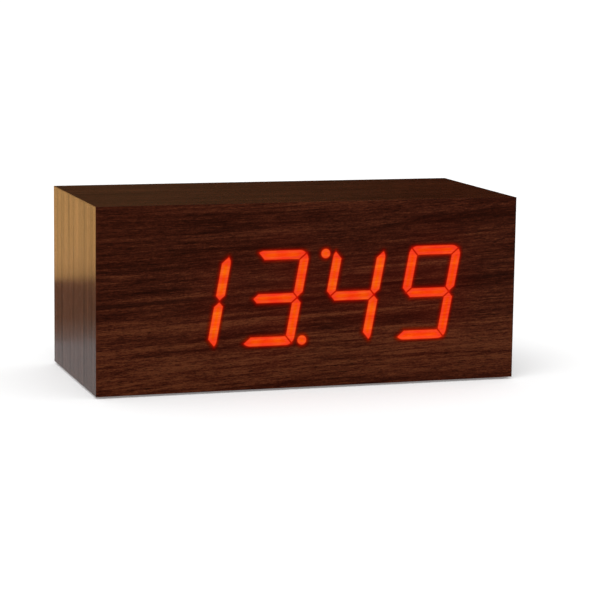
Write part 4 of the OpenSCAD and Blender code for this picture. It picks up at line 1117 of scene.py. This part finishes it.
def make_leads(material):
    """The battery's two wires: level from the tray, an easy S to the side and a bend into the board.

    The S goes as t^2 (3 - 2t), and the bend is a quarter circle.
    """
    radius, bend_r, straight = 0.7, 3.0, 1.5
    start_x, start_y = BATTERY_X + POCKET_HALF_W, 31.2
    board_y, end_x = 29.4, 8.0
    dip_y = board_y - 2 * bend_r
    run = end_x - bend_r - start_x - straight
    t = np.linspace(0, 1, 49)
    ease = t * t * (3 - 2 * t)
    bend = np.radians(np.linspace(0, 90, 13)[1:])
    bend_x = end_x - bend_r + bend_r * np.sin(bend)
    bend_y = dip_y + bend_r - bend_r * np.cos(bend)
    x = np.r_[start_x, start_x + straight + run * t, bend_x, end_x]
    y = np.r_[start_y, start_y + (dip_y - start_y) * ease, bend_y, board_y]
    leads = []
    for z0, z1 in ((CELL_Z0, 39.0), (CELL_Z0 + 3 * CELL_PITCH, 51.0)):
        z = np.r_[z0, z0 + (z1 - z0) * ease, np.full(len(bend) + 1, z1)]
        leads.append(swept(np.stack([x, y, z], -1), (0, 0, 1), circle(radius, 16)))
    add_piece("leads", merged(leads), material, "case", "lead_plastic", ["battery_leads"], 60)

def finish_nodes(finishes):
    """Gives each CAD node that stays its finish, on the object's own material slots."""
    for material, names in finishes:
        for name in names:
            for material_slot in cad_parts[name].material_slots:
                material_slot.link = "OBJECT"
                material_slot.material = material

bpy.context.scene.view_settings.view_transform = "Standard"
make_camera()
make_world(0.85)
make_floor(0.2)
make_sun("soft lamp", power=1.12, azimuth=-32, elevation=52, angle=50)
make_sun("lamp under the floor", power=1.6, azimuth=0, elevation=-90, angle=20)
mirror_card(
    "far wall", [(-3000, 700, -10), (3000, 700, -10), (3000, 700, 3000), (-3000, 700, 3000)],
    axis=0, low=-200, high=600, strength=1.0,
    stops=[(100, (0.108, 0.060, 0.026)), (360, (0.058, 0.020, 0.008))],
)
# The card's grey low end fading into its dark band is a painted soft shadow where it meets the floor
mirror_card(
    "wooden board", [(-104, 104, -10), (-1200, 104, -10), (-1200, 104, 140), (-104, 104, 140)],
    axis=2, low=-10, high=140, strength=1.70,
    stops=[
        (0, (0.27, 0.22, 0.20)), (6, (0.24, 0.160, 0.120)), (13, (0.19, 0.100, 0.058)),
        (32.5, (0.20, 0.098, 0.056)), (34.5, (0.70, 0.390, 0.148)), (43, (0.92, 0.510, 0.190)),
        (60, (0.95, 0.53, 0.190)), (130, (0.90, 0.50, 0.175)),
    ],
)
# A grey card that only reflections see, lying beside the clock at the level of the floor in its shade:
# painted shade in the left end's reflection
mirror_card(
    "floor shade card", [(-1200, -60, 0.3), (-104, -60, 0.3), (-104, 104, 0.3), (-1200, 104, 0.3)],
    axis=0, low=-1200, high=-104, strength=0.89,
    stops=[(-1200, (0.64, 0.59, 0.575)), (-104, (0.64, 0.59, 0.575))],
)

walnut_level = walnut("walnut level grain", "x")
walnut_upright = walnut("walnut upright grain", "z")
black_plastic = moulded("black moulding", (0.0085, 0.0085, 0.009), (0.0098, 0.0098, 0.0105))
button_plastic = moulded(
    "button moulding", (0.020, 0.020, 0.022), (0.028, 0.028, 0.030), 0.46, marks=(0.62, 0.62, 0.60),
)
knob_plastic = moulded("knob moulding", (0.52, 0.52, 0.49), (0.60, 0.60, 0.57), 0.45)
switch_plastic = moulded("switch moulding", (0.045, 0.045, 0.048), (0.060, 0.060, 0.062))
chip_plastic = moulded("chip moulding", (0.010, 0.010, 0.011), (0.014, 0.014, 0.015), 0.55)
rubber = speckled(
    "rubber foam", (0.012, 0.012, 0.012), (0.024, 0.024, 0.024), 0.6,
    rough=(0.75, 0.9), relief=0.06, specular=0.3,
)
black_steel = brushed("blackened steel", (0.035, 0.035, 0.038), (0.018, 0.016, 0.015), 0.3, 0.36)
plated = brushed("plated metal", (0.62, 0.61, 0.58), (0.42, 0.40, 0.37), (0.25, 0.25, 1.8), 0.26)
brass = brushed("brass", (0.72, 0.46, 0.15), (0.50, 0.30, 0.10), (0.3, 2.0, 0.3), 0.24)
light_chip = speckled(
    "light chips", (0.58, 0.42, 0.07), (0.72, 0.56, 0.16), 0.5, rough=(0.25, 0.4), relief=0.02,
)
lead_plastic = speckled(
    "lead insulation", (0.14, 0.004, 0.003), (0.20, 0.006, 0.005), 1.5, rough=(0.32, 0.42), relief=0.01,
)

make_front(walnut("walnut front", "x", glowing=True))
make_sheets(walnut_level, walnut_upright)
make_bands(walnut_level, walnut_upright)
make_screws(black_steel)
make_feet(rubber)
make_buttons(button_plastic)
make_knob(knob_plastic)
eased_copy("control_surround", "control_panel", "case", black_plastic, 0.25)
eased_copy("battery_surround", "battery_tray", "case", black_plastic, 0.25)
eased_copy("battery_lid", "battery_door", "battery_door", black_plastic, 0.2)
make_cells(cell_jacket(), plated)
make_springs(plated)
make_ribbon(ribbon_plastic())
make_leads(lead_plastic)
finish_nodes([
    (walnut_level, ["veneer_back"]),
    (fibreboard(), [side + "_board" for side in ("front", "top", "bottom", "left", "right", "back")]),
    (pine(), ["corner_blocks"]),
    (black_plastic, ["digit_housing_%d" % (i + 1) for i in range(4)]),
    (black_plastic, ["ribbon_sockets", "coin_cell_holder", "power_inlet", "buzzer"]),
    (resin(), ["digit_segments_%d" % (i + 1) for i in range(4)]),
    (circuit_board(), ["digit_boards", "display_board", "control_board"]),
    (light_chip, ["light_chips"]),
    (plated, ["digit_pins", "display_spacers", "board_screws", "microphone", "crystal", "coin_cell"]),
    (plated, ["contact_plates"]),
    (chip_plastic, ["display_driver", "microcontroller"]),
    (switch_plastic, ["button_switches", "slide_switch"]),
    (brass, ["inlet_pin"]),
])
